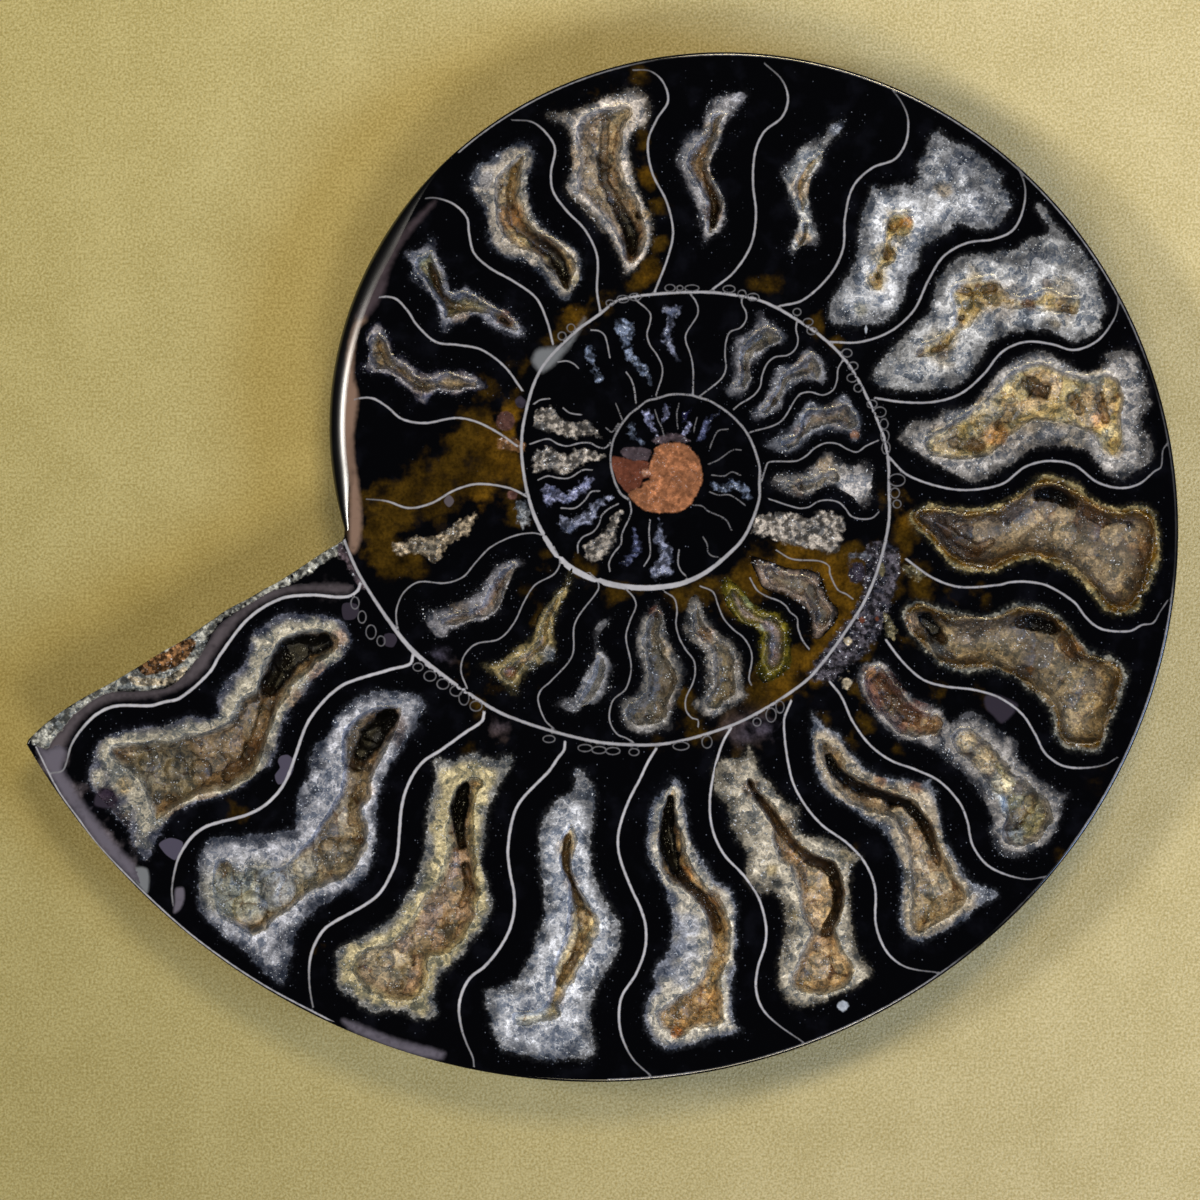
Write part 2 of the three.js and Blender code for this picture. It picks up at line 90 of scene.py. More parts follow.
# Septa of the last turn, from the inner end to the outer end
SEPTA = [
    """360,584 358,590 350,596 336,597 312,595 280,599 248,619 220,655 209,673 180,698 164,702 151,705.6
    116,706 97,714 81,730 71,746 66,764 62,771 52,773""",
    """413,656 410,664 392,669 347,683 331,694 317,709 306,726 286,780 270,801 249,814 210,825 196,833
    185,846 177,862 172,888 173,905""",
    """484,713 482,721 466,732 441,750 424,761 413,775 405,793 401,812 397,857 390,876 379,894 363,906
    328,926 318,938 311,955 309,972 310,990 313,1007""",
    """565,742 564,750 558,758 549,771 523,798 514,814 508,848 510,872 514,893 514,912 509,931 499,949
    484,967 471,977 463,990 459,1007 461,1026 466,1042 473,1058 474,1067""",
    """656,749 648,762 640,779 630,798 622,819 618,838 620,858 632,890 640,907 645.6,926 645,949 636,974
    622,996 619,1016 622,1037 633,1059 650,1075""",
    """731,728 723,742 716,764 710,798 712,827 723,853 745,877 759,899 766,926 765,945 758,967 756,989
    762,1008 776,1023 803,1042""",
    "791,701 784,722 791,776 803,802 822,825 847,843 865,863 875,888 876,925 887,952 906,967 941,973",
    """830,682 841,696 853,722 871,746 892,761 914,769 939,781 959,802 967,820 973,846 990,867 1024,879
    1049,876""",
    """886,640 902,661 922,679 943,686 975,690 1000,698 1022,714 1035,734 1045,753 1061,765 1080,768
    1104,765 1118,757""",
    """906,559 933,578 960,587 998,585 1012,582 1030,582 1048,586 1074,602 1084,615 1093,624 1105,630
    1130,631 1142,625 1153,623 1160,612 1168,600""",
    """889,457 906,474 937,486 967,490 1002,484 1025,467 1048,461 1074,465 1097,482 1120,488 1139,484
    1155,471 1161,467 1163,450 1167,444""",
    """875,398 902,402 933,402 960,394 983,375 1002,352 1025,342 1051,344 1074,350 1097,341 1113,321
    1118,306 1117,291""",
    """830,342 860,342 891,331 914,310 929,279 944,256 967,243 994,239 1013,230 1023,210 1025,187
    1017,164""",
    "780,306 803,300 830,275 843,249 845,218 853,187 872,168 895,159 906,142 908,119 902,103 891,88",
    "713,289 734,272 751,245 756,214 753,184 755,153 764,132 782,117 788,99 782,80 764,63",
    "655,291 667,260 673,233 667,203 652,172 648,142 657,119 668,101 663,82 650,71 632,70",
    "600,310 597,291 597,256 585,230 566,210 553,191 551,172 555,149 547,134 532,122 511,120",
    "553,344 547,321 536,298 513,281 490,268 474,253 469,233 467,218 455,205 436,198 419,199",
    "522,390 505,367 482,350 459,345 436,342 417,325 407,310 394,298 375,298 358,306",
    "517,446 497,432 474,421 455,418 425,423 402,419 386,406 371,398 352,400 337,407",
    "528,497 509,488 478,484 455,490 432,503 409,508 386,501 365,499",
]

# Septa of the turn before it
INNER_SEPTA = [
    "545,536 533,533 514,536 491,547 476,562 463,577 445,583 419,582 405,591 398,604 396,616 398,629",
    "554,547 560,562 554,574 535,585 524,602 514,623 499,639 476,644 464,656 461,671 467,688",
    "590,573 598,582 598,590 580,614 574,627 572,656 550,682 541,690 538,700 545,720 553,728",
    """627,590 634,598 636,606 630,621 626,637 631,664 630,677 625,690 614,699 610,709 610,722 617,734
    626,738 633,742""",
    """665,592 674,598 677,610 676,624 679,637 686,650 694,661 695,674 692,685 686,698 686,710 692,718
    698,720 698,728""",
    "700,586 713,592 718,605 724,619 734,630 743,637 750,648 752,659 749,679 752,686",
    "750,578 757,590 766,596 779,601 786,606 790,612 797,618 798,628 803,641 810,650",
    "776,550 792,559 819,561 829,566 830,574 838,590 846,594 853,599",
    "769,499 798,508 809,507 817,502 826,500 838,502 845,508 851,516 861,519 872,518 880,511",
    "762,480 766,467 769,462 796,461 806,456 815,448 826,443 838,444 847,449 857,452 866,446 879,440",
    "751,432 780,422 799,395 810,392 823,395 833,390 837,380 838,369 843,360",
    "734,409 740,404 753,396 760,387 762,376 767,364 775,357 788,355 796,348 798,339 796,329 797,321",
    "700,396 721,379 726,368 725,355 726,342 730,332 740,328 746,320 746,312 742,304 742,297",
    "693,394 693,368 690,353 686,342 686,334 697,316 698,308 695,300 690,294",
    "656,395 662,376 662,366 657,355 650,345 647,334 650,323 650,313 636,300",
    "591,330 599,331 605,336 610,358",
    "558,362 567,361 574,364 578,368",
    "534,404 540,400 551,398.5",
    "563,408 570,413 583,415",
    "626,372 631,379 634,388 636,403",
    "530,444 548,439 558,444 567,446 580,443 590,443 598,447 605,448 610,443",
    "538,480 548,476 558,478 569,478 583,470 592,470",
    "561,508 575,508 585,500 591,492 599,491",
    "578,553 578,544 583,537 593,532 599,524 602,515 610,508 618,504",
    "630,502 631,513 622,534 621,544 614,553 609,563 610,572",
    "650,520 649,532 650,555 644,566",
    "679,550 678,563 681,571 686,576",
]

# Septa of the innermost turns
CORE_SEPTA = [
    "616,404 622,419",
    "606,428 612,432 618,424",
    "655,410 658,420 662,428 664,436",
    "679,404 677,412 677,420 678,430",
    "697,418 695,425 694,432",
    "728,429 718,431 713,440 710,448",
    "741,450 733,450 718,460 709,464",
    "740,475 732,472 724,476 712,475",
    "710,492 718,495 730,495 745,505",
    "693,505 702,506 708,511 725,519 732,531",
    "703,537 707,544 708,552 712,556 718,557",
]

# Loops of the wall: middle across and down, half width, half height
LOOPS = """355,603,4,6 362,617,4,6 371,632,5,7 381,641,4,5 418,667,5,4 430,676,6,5 443,684,6,5
456,691,6,5 464,698,5,7 476,706,6,5 549,739,6,3.5 585,748,7,3.5 599,750,7,3.5 613,751,7,3.5
634,752,5,3.5 681,746,8,4 707,742,5,6 757,722,4,4 771,715,5,7 780,707,4,6 897,480,8,6 895,493,4.5,5
897,504,4,4 847,353,5,4 853,366,5,4 852,378,5,4 858,388,4,4 872,404,5,4 880,412,6,5 884,424,4,5
885,436,4,6 886,448,4,6 797,312,4,3.5 808,322,5,3.5 812,331,5,3.5 729,289,6,3.5 742,294,4,4
753,297,6,3.5 670,288,5,3.5 680,288,3,2.5 692,288,7,3 610,303,4,3 623,299,6,3.5 635,297,6,3.5
562,336,4,4 571,328,4,4"""

# Swellings of the wall: across, down, reach, added half width
SWELLINGS = [(430, 665, 60, 1.0), (630, 586, 90, 1.4), (560, 560, 40, 0.8)]

# Hollows of the last turn, then of the turn before it.
# mouths: outlines of the open bowls, with / between them.
# tints: edge and band of the crystals on the cut, then walls and floor inside.
# outer, inner: share of red, green and blue that the tints keep on the cut and inside.
# depth: of the pocket. deep: of the bowl.
# lumps, grain: size and height of the large and the small crystals. round: share of rounded ones.
# wells: across, down, radius and further depth of round steps, with / between the chains of steps. The wells
# are also painted dark brown to near black, as shade.
# spots: across, down, radius, tint and strength of a spot of colour. Spots of the tint dark lie in the wells
# and are painted shade.
# knobs: across, down, radius and height of a single large crystal
HOLLOWS = [
    dict(
        outline="""350,640 341,622 296,613 280,616 250,637 248,653 241,669 221,688 216,711 209,720
        188,714 169,724 103,738 90,772 90,785 127,828 140,855 147,859 169,818 196,802 220,796 242,786
        260,772 271,765 280,731 290,712 322,672 341,659""",
        mouths="""282,638 325,630 336,637 338,646 328,656 315,664 286,696 270,733 252,772 236,785
        204,794 162,815 156,820 135,772 116,764 109,753 111,745 172,738 228,722 240,700 256,688 262,667
        272,654""",
        slot="grey", tints="blue green tan sand", outer=(0.71, 0.64, 0.63), inner=(0.33, 0.28, 0.22),
        depth=62, deep=26, lumps=(17, 9), grain=(5, 2.2), round=0.2,
        wells="""322,641,11,34 298,648,16,40 282,662,13,34 268,688,10,20 / 266,700,9,8 258,738,9,8
        246,758,9,12 226,776,7,8""",
        spots="""338,640,12,pink,0.9 318,672,12,pink,0.7 296,700,14,tan,0.7 125,785,9,yellow,0.9
        270,700,15,brown,0.5 258,745,14,brown,0.7 108,797,12,dusk,1.2 240,740,12,tan,0.8
        226,760,12,brown,0.4 165,768,44,green,0.9 225,745,22,sand,0.6 120,820,12,ochre,0.6
        170,806,14,brown,0.6 205,792,12,tan,0.6""",
        knobs="150,762,12,8 176,770,12,7 170,748,10,6 200,770,11,6 140,745,9,5 200,748,10,5",
    ),
    dict(
        outline="""368,694 408,693 424,702 416,728 406,740 378,796 376,842 365,876 315,910 296,932
        293,948 289,964 285,983 266,974 241,948 226,938 214,926 201,913 201,849 214,839 260,834 284,830
        295,829 298,796 310,772 312,753 328,734 338,715""",
        mouths="""370,710 384,709 401,710 373,777 370,796 365,807 368,830 368,844 349,873 312,890
        287,911 252,934 236,924 220,913 217,897 214,881 218,860 249,868 284,865 320,824 342,788 341,761
        345,730""",
        slot="white", tints="blue milk tan sand", outer=(0.57, 0.53, 0.51), inner=(0.55, 0.55, 0.54),
        depth=62, deep=24, lumps=(14, 7), grain=(5, 2), round=0.6,
        wells="390,717,12,30 374,734,15,38 362,752,12,28 356,766,8,14 / 356,790,6,7 352,822,6,8",
        spots="""384,728,22,brown,0.8 368,758,16,brown,0.7 360,790,14,tan,0.7 352,830,14,tan,0.6
        340,862,18,sand,0.8 300,880,22,cream,0.5 240,892,38,green,1.0 276,890,24,milk,0.8
        304,872,20,cream,0.6""",
        knobs="""232,880,18,14 250,909,17,12 278,890,18,12 262,868,10,6 305,868,12,6 330,850,12,6
        345,845,9,5 310,890,10,5 358,815,9,5""",
    ),
    dict(
        outline="""434,758 448,761 472,754 491,759 512,758 494,794 488,812 486,830 482,852 483,871
        490,894 490,910 483,929 469,942 463,953 449,967 439,975 436,988 433,999 437,1012 426,1018
        414,1017 404,1012 369,1010 356,999 343,993 337,983 339,950 370,934 397,913 406,897 416,881
        426,842 427,820 437,772""",
        mouths="""467,777 480,778 483,786 476,794 472,830 479,894 466,932 455,945 449,953 430,957
        425,966 427,980 419,994 404,1001 372,992 356,980 356,956 398,935 434,884 440,876 448,846 445,826
        448,820 448,807""",
        slot="cream", tints="cream yellow tan pink", outer=(0.57, 0.61, 0.75), inner=(0.6, 0.57, 0.49),
        depth=62, deep=24, lumps=(11, 6), grain=(4, 1.8), round=0.7,
        wells="""464,790,8,28 459,808,10,34 458,826,7,26 462,846,5,16 / 466,866,5,12 468,890,5,12
        462,906,5,8 / 442,925,6,7 / 398,985,7,7""",
        spots="""462,810,14,brown,0.7 465,870,9,brown,0.7 440,905,18,pink,0.6 420,940,18,tan,0.7
        385,965,26,cream,0.5 400,992,14,brown,0.4 352,968,9,yellow,0.8 470,915,9,pink,0.8""",
        knobs="440,895,9,6 425,920,9,6 452,918,8,5 405,945,10,6 385,960,9,5 410,972,9,5",
    ),
    dict(
        outline="""577,770 594,790 590,853 600,891 618,922 619,941 612,962 595,991 590,1023 594,1054
        549,1060 530,1056 508,1052 499,1045 486,993 503,987 520,976 544,920 545,894 541,872 542,822
        555,803 573,789""",
        mouths="""571,821 576,842 571,864 576,882 595,912 597,936 587,953 581,966 560,1003 562,1016
        547,1022 514,1024 514,1014 543,1007 552,982 555,959 566,934 570,896 558,851 560,838 566,830""",
        slot="white", tints="white white sand sand", outer=(0.58, 0.55, 0.53), inner=(1.15, 1.12, 0.93),
        depth=50, deep=16, lumps=(12, 5), grain=(4, 1.4), round=0.3,
        wells="""568,838,5,12 566,858,6,14 570,884,6,14 580,906,6,10 584,930,6,8 574,960,6,12
        560,982,6,10""",
        spots="""566,848,10,tan,0.8 572,880,10,brown,0.5 584,915,12,tan,0.9 582,945,12,tan,0.9
        566,975,10,tan,0.8 557,1000,10,brown,0.4 530,1018,18,blue,0.8 555,1045,20,blue,0.5
        520,1040,18,blue,0.4 585,940,6,brown,0.4""",
        knobs="586,915,9,6 588,938,8,6 575,958,8,5",
    ),
    dict(
        outline="""677,778 684,800 687,827 699,856 716,880 733,894 735,962 730,994 735,1023 740,1030
        677,1047 662,1047 650,1033 645,1008 655,989 655,970 670,950 671,911 655,868 648,856 653,802
        667,790""",
        mouths="""673,791 677,817 684,836 691,865 723,904 730,926 729,953 723,977 723,1006 723,1023
        696,1030 677,1037 660,1025 658,1012 694,985 706,960 708,930 700,905 684,888 668,880 660,863
        658,836 664,807""",
        slot="white", tints="white cream tan sand", outer=(0.52, 0.52, 0.57), inner=(0.79, 0.66, 0.46),
        depth=62, deep=24, lumps=(12, 6), grain=(4, 1.6), round=0.5,
        wells="""668,800,7,26 667,824,9,34 668,848,9,34 674,868,8,24 692,890,7,14 710,908,8,14
        718,928,7,12""",
        spots="""668,835,16,brown,0.7 686,875,10,orange,0.5 712,900,14,brown,0.6 718,930,12,tan,0.6
        715,965,14,sand,0.8 710,1000,14,tan,0.7 686,1012,16,tan,0.7 677,1033,7,orange,0.9
        690,925,12,white,0.8 690,950,14,white,0.7 680,975,14,white,0.7""",
        knobs="684,1012,9,6 700,1004,9,6 705,1018,8,5 712,985,8,5 716,955,8,5",
    ),
    dict(
        outline="""718,761 747,756 748,744 759,768 788,805 800,810 796,827 805,836 830,839 851,853
        861,858 851,868 849,890 856,950 871,972 859,984 810,1006 793,1004 781,989 779,962 786,938
        785,909 774,893 759,893 747,875 747,856 735,834 725,802 716,793""",
        mouths="""750,777 757,788 774,805 786,827 803,848 820,858 837,865 844,904 837,926 842,950
        854,970 847,984 817,994 790,984 808,938 803,914 791,870 779,856 767,817 754,800 745,781""",
        slot="cream", tints="cream cream tan sand", outer=(0.46, 0.45, 0.47), inner=(0.8, 0.68, 0.53),
        depth=54, deep=22, lumps=(11, 5), grain=(4, 1.8), round=0.3,
        wells="""750,784,6,16 762,803,7,16 778,822,7,12 792,842,7,14 812,860,8,16 832,868,8,18
        840,888,7,18 838,908,6,16 828,932,7,14""",
        spots="""752,788,10,brown,0.9 782,828,14,tan,0.9 795,850,12,brown,0.6 823,864,10,brown,0.8
        838,893,9,brown,0.8 772,870,7,yellow,0.9 800,850,7,yellow,0.8 795,915,7,yellow,0.9
        826,940,12,brown,0.6 815,905,14,tan,0.5 830,975,14,sand,0.6 806,985,10,yellow,0.5
        733,775,10,sand,0.5 845,858,8,yellow,0.6""",
        knobs="812,895,8,5 818,960,9,5 835,975,8,4",
    ),
    dict(
        outline="""812,712 822,726 837,734 851,753 869,771 890,779 906,779 922,783 931,781 947,844
        973,883 996,893 980,906 963,920 922,940 906,934 900,922 902,875 886,836 869,820 826,789 816,771""",
        mouths="""820,740 839,751 847,771 890,793 914,800 933,826 939,844 951,869 967,893 964,904
        935,924 920,934 910,924 911,873 893,820 865,810 841,793 820,755""",
        slot="cream", tints="milk sand tan sand", outer=(0.56, 0.56, 0.59), inner=(0.67, 0.64, 0.59),
        depth=54, deep=22, lumps=(10, 5), grain=(4, 1.8), round=0.3,
        wells="""829,758,6,22 836,772,7,22 856,786,7,20 884,796,7,20 908,804,7,20 924,820,7,18
        932,842,6,16 938,862,5,10""",
        spots="""835,768,8,brown,0.9 865,790,12,brown,0.8 895,798,12,brown,0.8 925,830,12,brown,0.6
        932,858,10,brown,0.4 880,782,8,orange,0.6 915,786,8,orange,0.6 925,905,22,yellow,0.35
        925,880,14,sand,0.8 855,812,10,milk,0.5""",
        knobs="833,747,7,8 925,890,8,4 940,905,8,4 921,860,7,4",
    ),
    dict(
        outline="""859,667 870,663 882,661 914,698 939,708 951,722 967,712 984,718 1004,734 1016,740
        1020,759 1057,791 1069,795 1065,800 1053,836 1020,857 1000,853 990,834 992,816 963,773 922,744
        898,738 861,693""",
        mouths="""866,674 882,668 908,703 930,713 943,722 938,732 920,737 900,733 868,694 / 952,735
        968,730 990,745 1008,765 1030,785 1050,802 1052,820 1040,838 1018,846 1004,840 1004,815 994,790
        975,768 955,750""",
        slot="grey", tints="blue milk mauve olive", outer=(0.38, 0.33, 0.28), inner=(1.39, 1.5, 1.5),
        depth=50, deep=20, lumps=(9, 5), grain=(3.6, 1.6), round=0.2,
        wells="880,682,8,10 892,700,8,12 914,718,8,10 / 1010,825,9,8 1032,800,8,8",
        spots="""885,690,24,rust,0.9 912,715,22,rust,0.85 935,725,12,brown,0.8 870,672,8,orange,0.7
        896,720,8,mauve,0.6 965,742,12,tan,0.9 985,762,14,tan,0.9 1003,785,12,sand,0.8
        1025,812,20,olive,0.8 1018,835,10,grey,0.9 998,805,12,white,0.8 1040,790,10,smoke,0.5""",
        knobs="996,800,9,12 1002,818,8,10 1012,775,7,5",
    ),
    dict(
        outline="""906,606 926,602 936,608 988,616 1018,604 1032,606 1045,608 1068,626 1084,647 1099,655
        1113,659 1127,673 1122,690 1116,710 1109,724 1099,749 1073,749 1062,744 1055,731 1053,717
        1039,696 1028,691 1017,678 996,671 954,670 937,661 907,628""",
        mouths="""913,611 926,608 955,619 985,622 1022,611 1045,614 1060,624 1082,654 1116,669 1119,680
        1103,722 1098,740 1068,738 1054,703 1038,690 998,664 952,663 920,638 912,624""",
        slot="tan", tints="white ochre mauve dun", outer=(0.75, 0.68, 0.51), inner=(0.83, 0.77, 0.59),
        depth=52, deep=26, lumps=(13, 3.5), grain=(3.4, 1.4), round=0.8,
        wells="""926,620,9,30 934,628,8,26 944,640,5,14 / 1020,622,6,16 1040,622,10,28 1054,628,8,20 /
        1064,640,7,12 1076,655,7,8""",
        spots="""912,622,10,pink,0.8 930,622,10,dark,0.8 938,645,12,grey,0.7 970,630,24,mauve,0.9
        1005,628,14,mauve,0.8 1042,622,12,dark,0.7 1074,650,14,brown,0.7 1000,652,24,dun,0.8
        1060,690,30,dun,0.9 1085,720,24,dun,0.8 1108,672,10,tan,0.7""",
        knobs="906,630,7,6",
    ),
    dict(
        outline="""911,513 935,505 980,509.6 1009,499 1038,478 1049,475 1073,483 1089,497 1103,505
        1120,508 1150,508 1157,530 1160,555 1149,587 1144,594 1137,608 1129,614 1107,611 1085,585
        1072,573 1057,567 1033,558 1005,566 993,571.5 962,570 949,563 940,550 916,527""",
        mouths="""918,516 935,512 960,516 1002,511 1038,487 1056,485 1076,494 1090,505 1110,514 1138,515
        1149,522 1150,560 1132,600 1120,607 1108,601 1078,569 1036,551 1014,554 992,563 966,562 950,552
        938,538""",
        slot="tan", tints="cream ochre mauve dun", outer=(0.9, 0.8, 0.51), inner=(0.84, 0.78, 0.65),
        depth=52, deep=26, lumps=(13, 3), grain=(3.2, 1.3), round=0.8,
        wells="""1040,494,8,22 1056,494,10,28 1072,502,8,18 / 1088,512,8,10 1104,520,7,6 / 940,524,7,12
        962,540,8,14 978,549,7,14 992,541,5,8""",
        spots="""950,525,22,mauve,0.8 990,535,22,mauve,0.7 1020,512,14,mauve,0.7 975,550,10,brown,0.8
        1058,496,16,dark,0.8 1092,516,18,brown,0.7 1040,530,24,dun,0.7 1080,560,26,dun,0.9
        1115,570,22,dun,0.9 1140,545,12,brown,0.6 1143,580,10,ochre,0.6""",
    ),
    dict(
        outline="""901,438 915,421 924,422 936,419 943,412 953,409 968,408 978,400 984,389 1010,361
        1040,352 1068,364 1077,370 1092,371 1101,366 1108,354 1129,349.5 1141,365 1147,393 1151,405
        1145,411 1142,422 1153,447 1150,459 1128,478 1115,479.5 1096,464 1091,453 1080,448 1036,447
        1026,452 1016,461 1000,469 985,478 969,480 944,469""",
        mouths="""924,440 945,427 985,400 1018,369 1040,362 1075,376 1092,377 1106,373 1120,381 1126,400
        1122,420 1122,443 1112,455 1085,431 1040,419 1018,430 985,456 943,458 928,451""",
        slot="cream", tints="milk white yellow tan", outer=(0.4, 0.35, 0.3), inner=(0.9, 0.89, 0.82),
        depth=48, deep=14, lumps=(13, 9), grain=(4.5, 2), round=0.0,
        wells="""1028,384,8,10 1046,390,8,12 / 1072,396,6,9 1080,410,6,8 / 1100,396,5,9 1106,418,5,8 /
        956,443,7,9 980,446,7,9 / 1000,424,6,7 1012,408,6,6""",
        spots="""1000,425,34,sand,0.5 945,440,20,sand,0.7 1112,440,14,cream,0.7 1095,372,14,cream,0.6
        1042,390,13,brown,0.6 1074,402,9,brown,0.6 1102,406,9,brown,0.6 977,445,10,brown,0.8
        996,435,12,orange,0.6 1060,412,20,yellow,0.8 1035,420,16,yellow,0.6 1114,448,12,yellow,0.8
        1100,420,10,orange,0.5 985,412,14,sand,0.8 1018,385,10,sand,0.7 915,428,8,grey,0.7
        1075,440,14,cream,0.6""",
        knobs="985,425,11,7 972,432,9,6 1022,388,9,7 1012,402,9,6 1060,415,8,5",
    ),
    dict(
        outline="""872,377 892,347 924,318 930,309 932,297 945,270 968,255 997,253 1012,250 1030,239
        1040,238 1047,232 1046,222 1036,206 1043,208 1053,222 1076,244 1098,275 1100,288 1106,310
        1101,320 1098,330 1079,341 1058,336 1048,331 1016,331 990,343 977,364 957,383 912,391 880,386""",
        mouths="""952,292 962,284 990,278 1002,286 1012,296 1030,296 1048,290 1062,296 1078,300 1076,314
        1058,310 1022,308 990,304 978,310 970,326 958,334 946,348 916,358 920,348 936,340 950,326
        954,308""",
        slot="white", tints="milk white cream sand", outer=(0.55, 0.51, 0.46), inner=(0.61, 0.54, 0.37),
        depth=42, deep=9, lumps=(11, 5), grain=(5, 2), round=0.1,
        wells="""985,290,4,7 994,286,5,9 / 960,289,4,6 968,291,5,7 / 962,318,4,8 / 934,350,4,7
        948,348,4,7 / 1064,309,4,6 1078,311,4,7""",
        spots="""978,292,24,yellow,0.8 1062,300,24,yellow,0.6 940,346,20,yellow,0.6 991,288,9,brown,0.7
        965,290,9,brown,0.6 962,320,7,brown,0.7 942,349,9,brown,0.7 920,353,6,brown,0.7
        1030,304,8,orange,0.8 1047,283,6,brown,0.7 1065,306,12,brown,0.6 1000,300,24,tan,0.5
        968,312,14,yellow,0.6 950,338,12,yellow,0.6 905,350,18,grey,0.6 1064,268,8,grey,0.7
        900,380,16,white,0.6 1040,262,16,blue,0.4 1085,300,16,milk,0.6""",
        knobs="980,300,9,5 1040,300,8,4",
    ),
    dict(
        outline="""831,320 860,325 892,317 906,288 908,277 918,264 921,248 948,232 956,222 985,229
        999,222 1009,210 1010,195 1002,187 1002,176 975,152 946,139 937,131 926,152 919,162 921,174
        913,184 897,184 886,190 873,187 868,200 863,213 858,251 852,269 833,299""",
        mouths="""886,216 898,213 910,217 912,226 904,234 894,234 890,246 896,254 890,264 882,266
        880,288 872,288 868,278 876,264 882,246""",
        slot="white", tints="milk white tan brown", outer=(0.69, 0.65, 0.61), inner=(1.07, 0.99, 0.65),
        depth=42, deep=8, lumps=(11, 5), grain=(5, 2), round=0.1,
        wells="892,227,5,9 900,221,4,6 / 890,246,4,6 887,257,4,9 / 879,276,4,7",
        spots="""898,226,17,yellow,0.8 886,256,16,yellow,0.7 876,280,12,yellow,0.7 895,226,9,brown,0.6
        906,222,7,orange,0.6 889,252,8,brown,0.8 876,280,7,brown,0.6 943,189,9,sand,0.8
        928,203,9,grey,0.7 861,309,8,green,0.8 895,240,14,yellow,0.4 975,205,20,blue,0.35
        905,270,14,blue,0.4 960,165,18,blue,0.3""",
    ),
    dict(
        outline="""781,173 794,157 800,147 813,139 825,136 829,125 846,120 844,127 825,149 821,162
        809,187 814,221 819,235 816,246 803,246 792,254 790,248 798,221 790,200 785,184""",
        mouths="""794,190 803,168 821,154 807,175 804,190 806,205 802,212 / 802,222 809,222 807,238
        801,246 795,247 802,236""",
        slot="grey", tints="smoke grey tan sand", outer=(1.32, 1.24, 1.14), inner=(0.47, 0.37, 0.16),
        depth=34, deep=12, lumps=(7, 3), grain=(3, 1.4), round=0.3,
        spots="803,185,14,tan,0.6 806,160,10,milk,0.5 803,238,8,tan,0.8 836,128,8,blue,0.6",
    ),
    dict(
        outline="""680,148 686,140 692,131 701,128 711,99 741,92 748,97 727,122 718,149 712,158 710,170
        717,183 726,210 721,232 711,237 704,246 700,222 694,200 678,165""",
        mouths="""688,158 710,130 713,118 721,116 709,158 706,166 722,208 710,232 706,205 699,186
        690,170""",
        slot="tan", tints="smoke grey tan tan", outer=(0.89, 0.82, 0.8), inner=(0.31, 0.26, 0.2),
        depth=40, deep=16, lumps=(8, 3.5), grain=(3.2, 1.6), round=0.3,
        wells="706,172,4,8 712,190,5,14 716,206,5,18 714,224,5,16",
        spots="""714,212,10,brown,0.9 704,170,12,tan,0.7 712,130,10,sand,0.7 711,168,4,white,0.9
        721,190,4,white,0.8 738,97,8,milk,0.6""",
    ),
    dict(
        outline="""547,114 573,111 598,100 638,88.5 648,99 650,112 646,124 638,129 632,137 630,150
        635,178 646,205 652,217 651,244 627,276 614,247 592,217 566,188 572,162 570,151 572,140 567,130""",
        mouths="""582,120 624,106 632,110 622,135 624,175 640,208 646,240 632,262 626,258 622,245
        604,214 580,190 580,160""",
        slot="tan", tints="grey milk tan sand", outer=(0.77, 0.63, 0.49), inner=(0.55, 0.51, 0.47),
        depth=48, deep=22, lumps=(10, 4), grain=(3.6, 1.6), round=0.4,
        wells="""606,122,5,8 604,150,6,10 604,180,6,12 616,205,7,16 630,228,9,24 632,250,7,18 /
        640,215,6,14""",
        spots="""634,232,16,brown,0.8 632,255,8,orange,0.6 610,140,12,tan,0.7 610,180,12,brown,0.4
        588,160,22,sand,0.7 622,115,14,cream,0.6 645,215,6,yellow,0.6 640,175,8,yellow,0.5""",
        knobs="585,150,8,3 590,180,8,3",
    ),
    dict(
        outline="""470,185 478,166 491,159 522,142 535,154 528,178 530,204 544,228 566,242 582,263
        570,298 560,298 550,284 530,265 506,257 490,241 485,212""",
        mouths="""497,178 516,158 525,155 520,200 536,229 562,248 572,260 573,276 567,289 546,266
        530,252 513,243 500,230 497,212 494,196""",
        slot="ochre", tints="grey sand tan olive", outer=(0.52, 0.55, 0.66), inner=(1.05, 1.03, 0.88),
        depth=44, deep=20, lumps=(8, 3.5), grain=(3.4, 1.5), round=0.3,
        wells="""514,170,5,8 510,195,6,10 514,220,7,10 532,238,7,14 552,252,8,20 564,270,8,22
        566,284,5,14""",
        spots="""560,262,14,dark,0.6 545,245,12,brown,0.8 512,215,14,orange,0.5 512,180,10,tan,0.7
        520,240,10,tan,0.6 485,180,12,grey,0.7 527,180,5,cream,0.7 575,280,5,yellow,0.7""",
    ),
    dict(
        outline="""405,254 421,247 434,238 436,247 441,264 448,275 450,288 458,290 465,286 484,298
        511,313 518,321 525,327 524,338 500,332 482,319 474,317 463,322 453,324 445,331 441,331 437,306
        419,284 410,278 412,268""",
        mouths="""416,262 431,252 434,262 443,290 452,296 466,293 480,301 496,308 512,320 516,330
        502,325 488,315 474,311 447,318 442,304""",
        slot="grey", tints="smoke grey olive tan", outer=(0.7, 0.68, 0.75), inner=(0.51, 0.56, 0.49),
        depth=38, deep=16, lumps=(7, 3), grain=(3.2, 1.5), round=0.3,
        wells="432,266,5,10 437,284,5,12 448,304,5,10 468,308,4,6 490,310,4,6 508,322,5,10",
        spots="""436,280,10,olive,0.8 460,312,12,tan,0.8 506,319,9,orange,0.5 425,260,9,green,0.5
        480,305,10,sand,0.6""",
    ),
    dict(
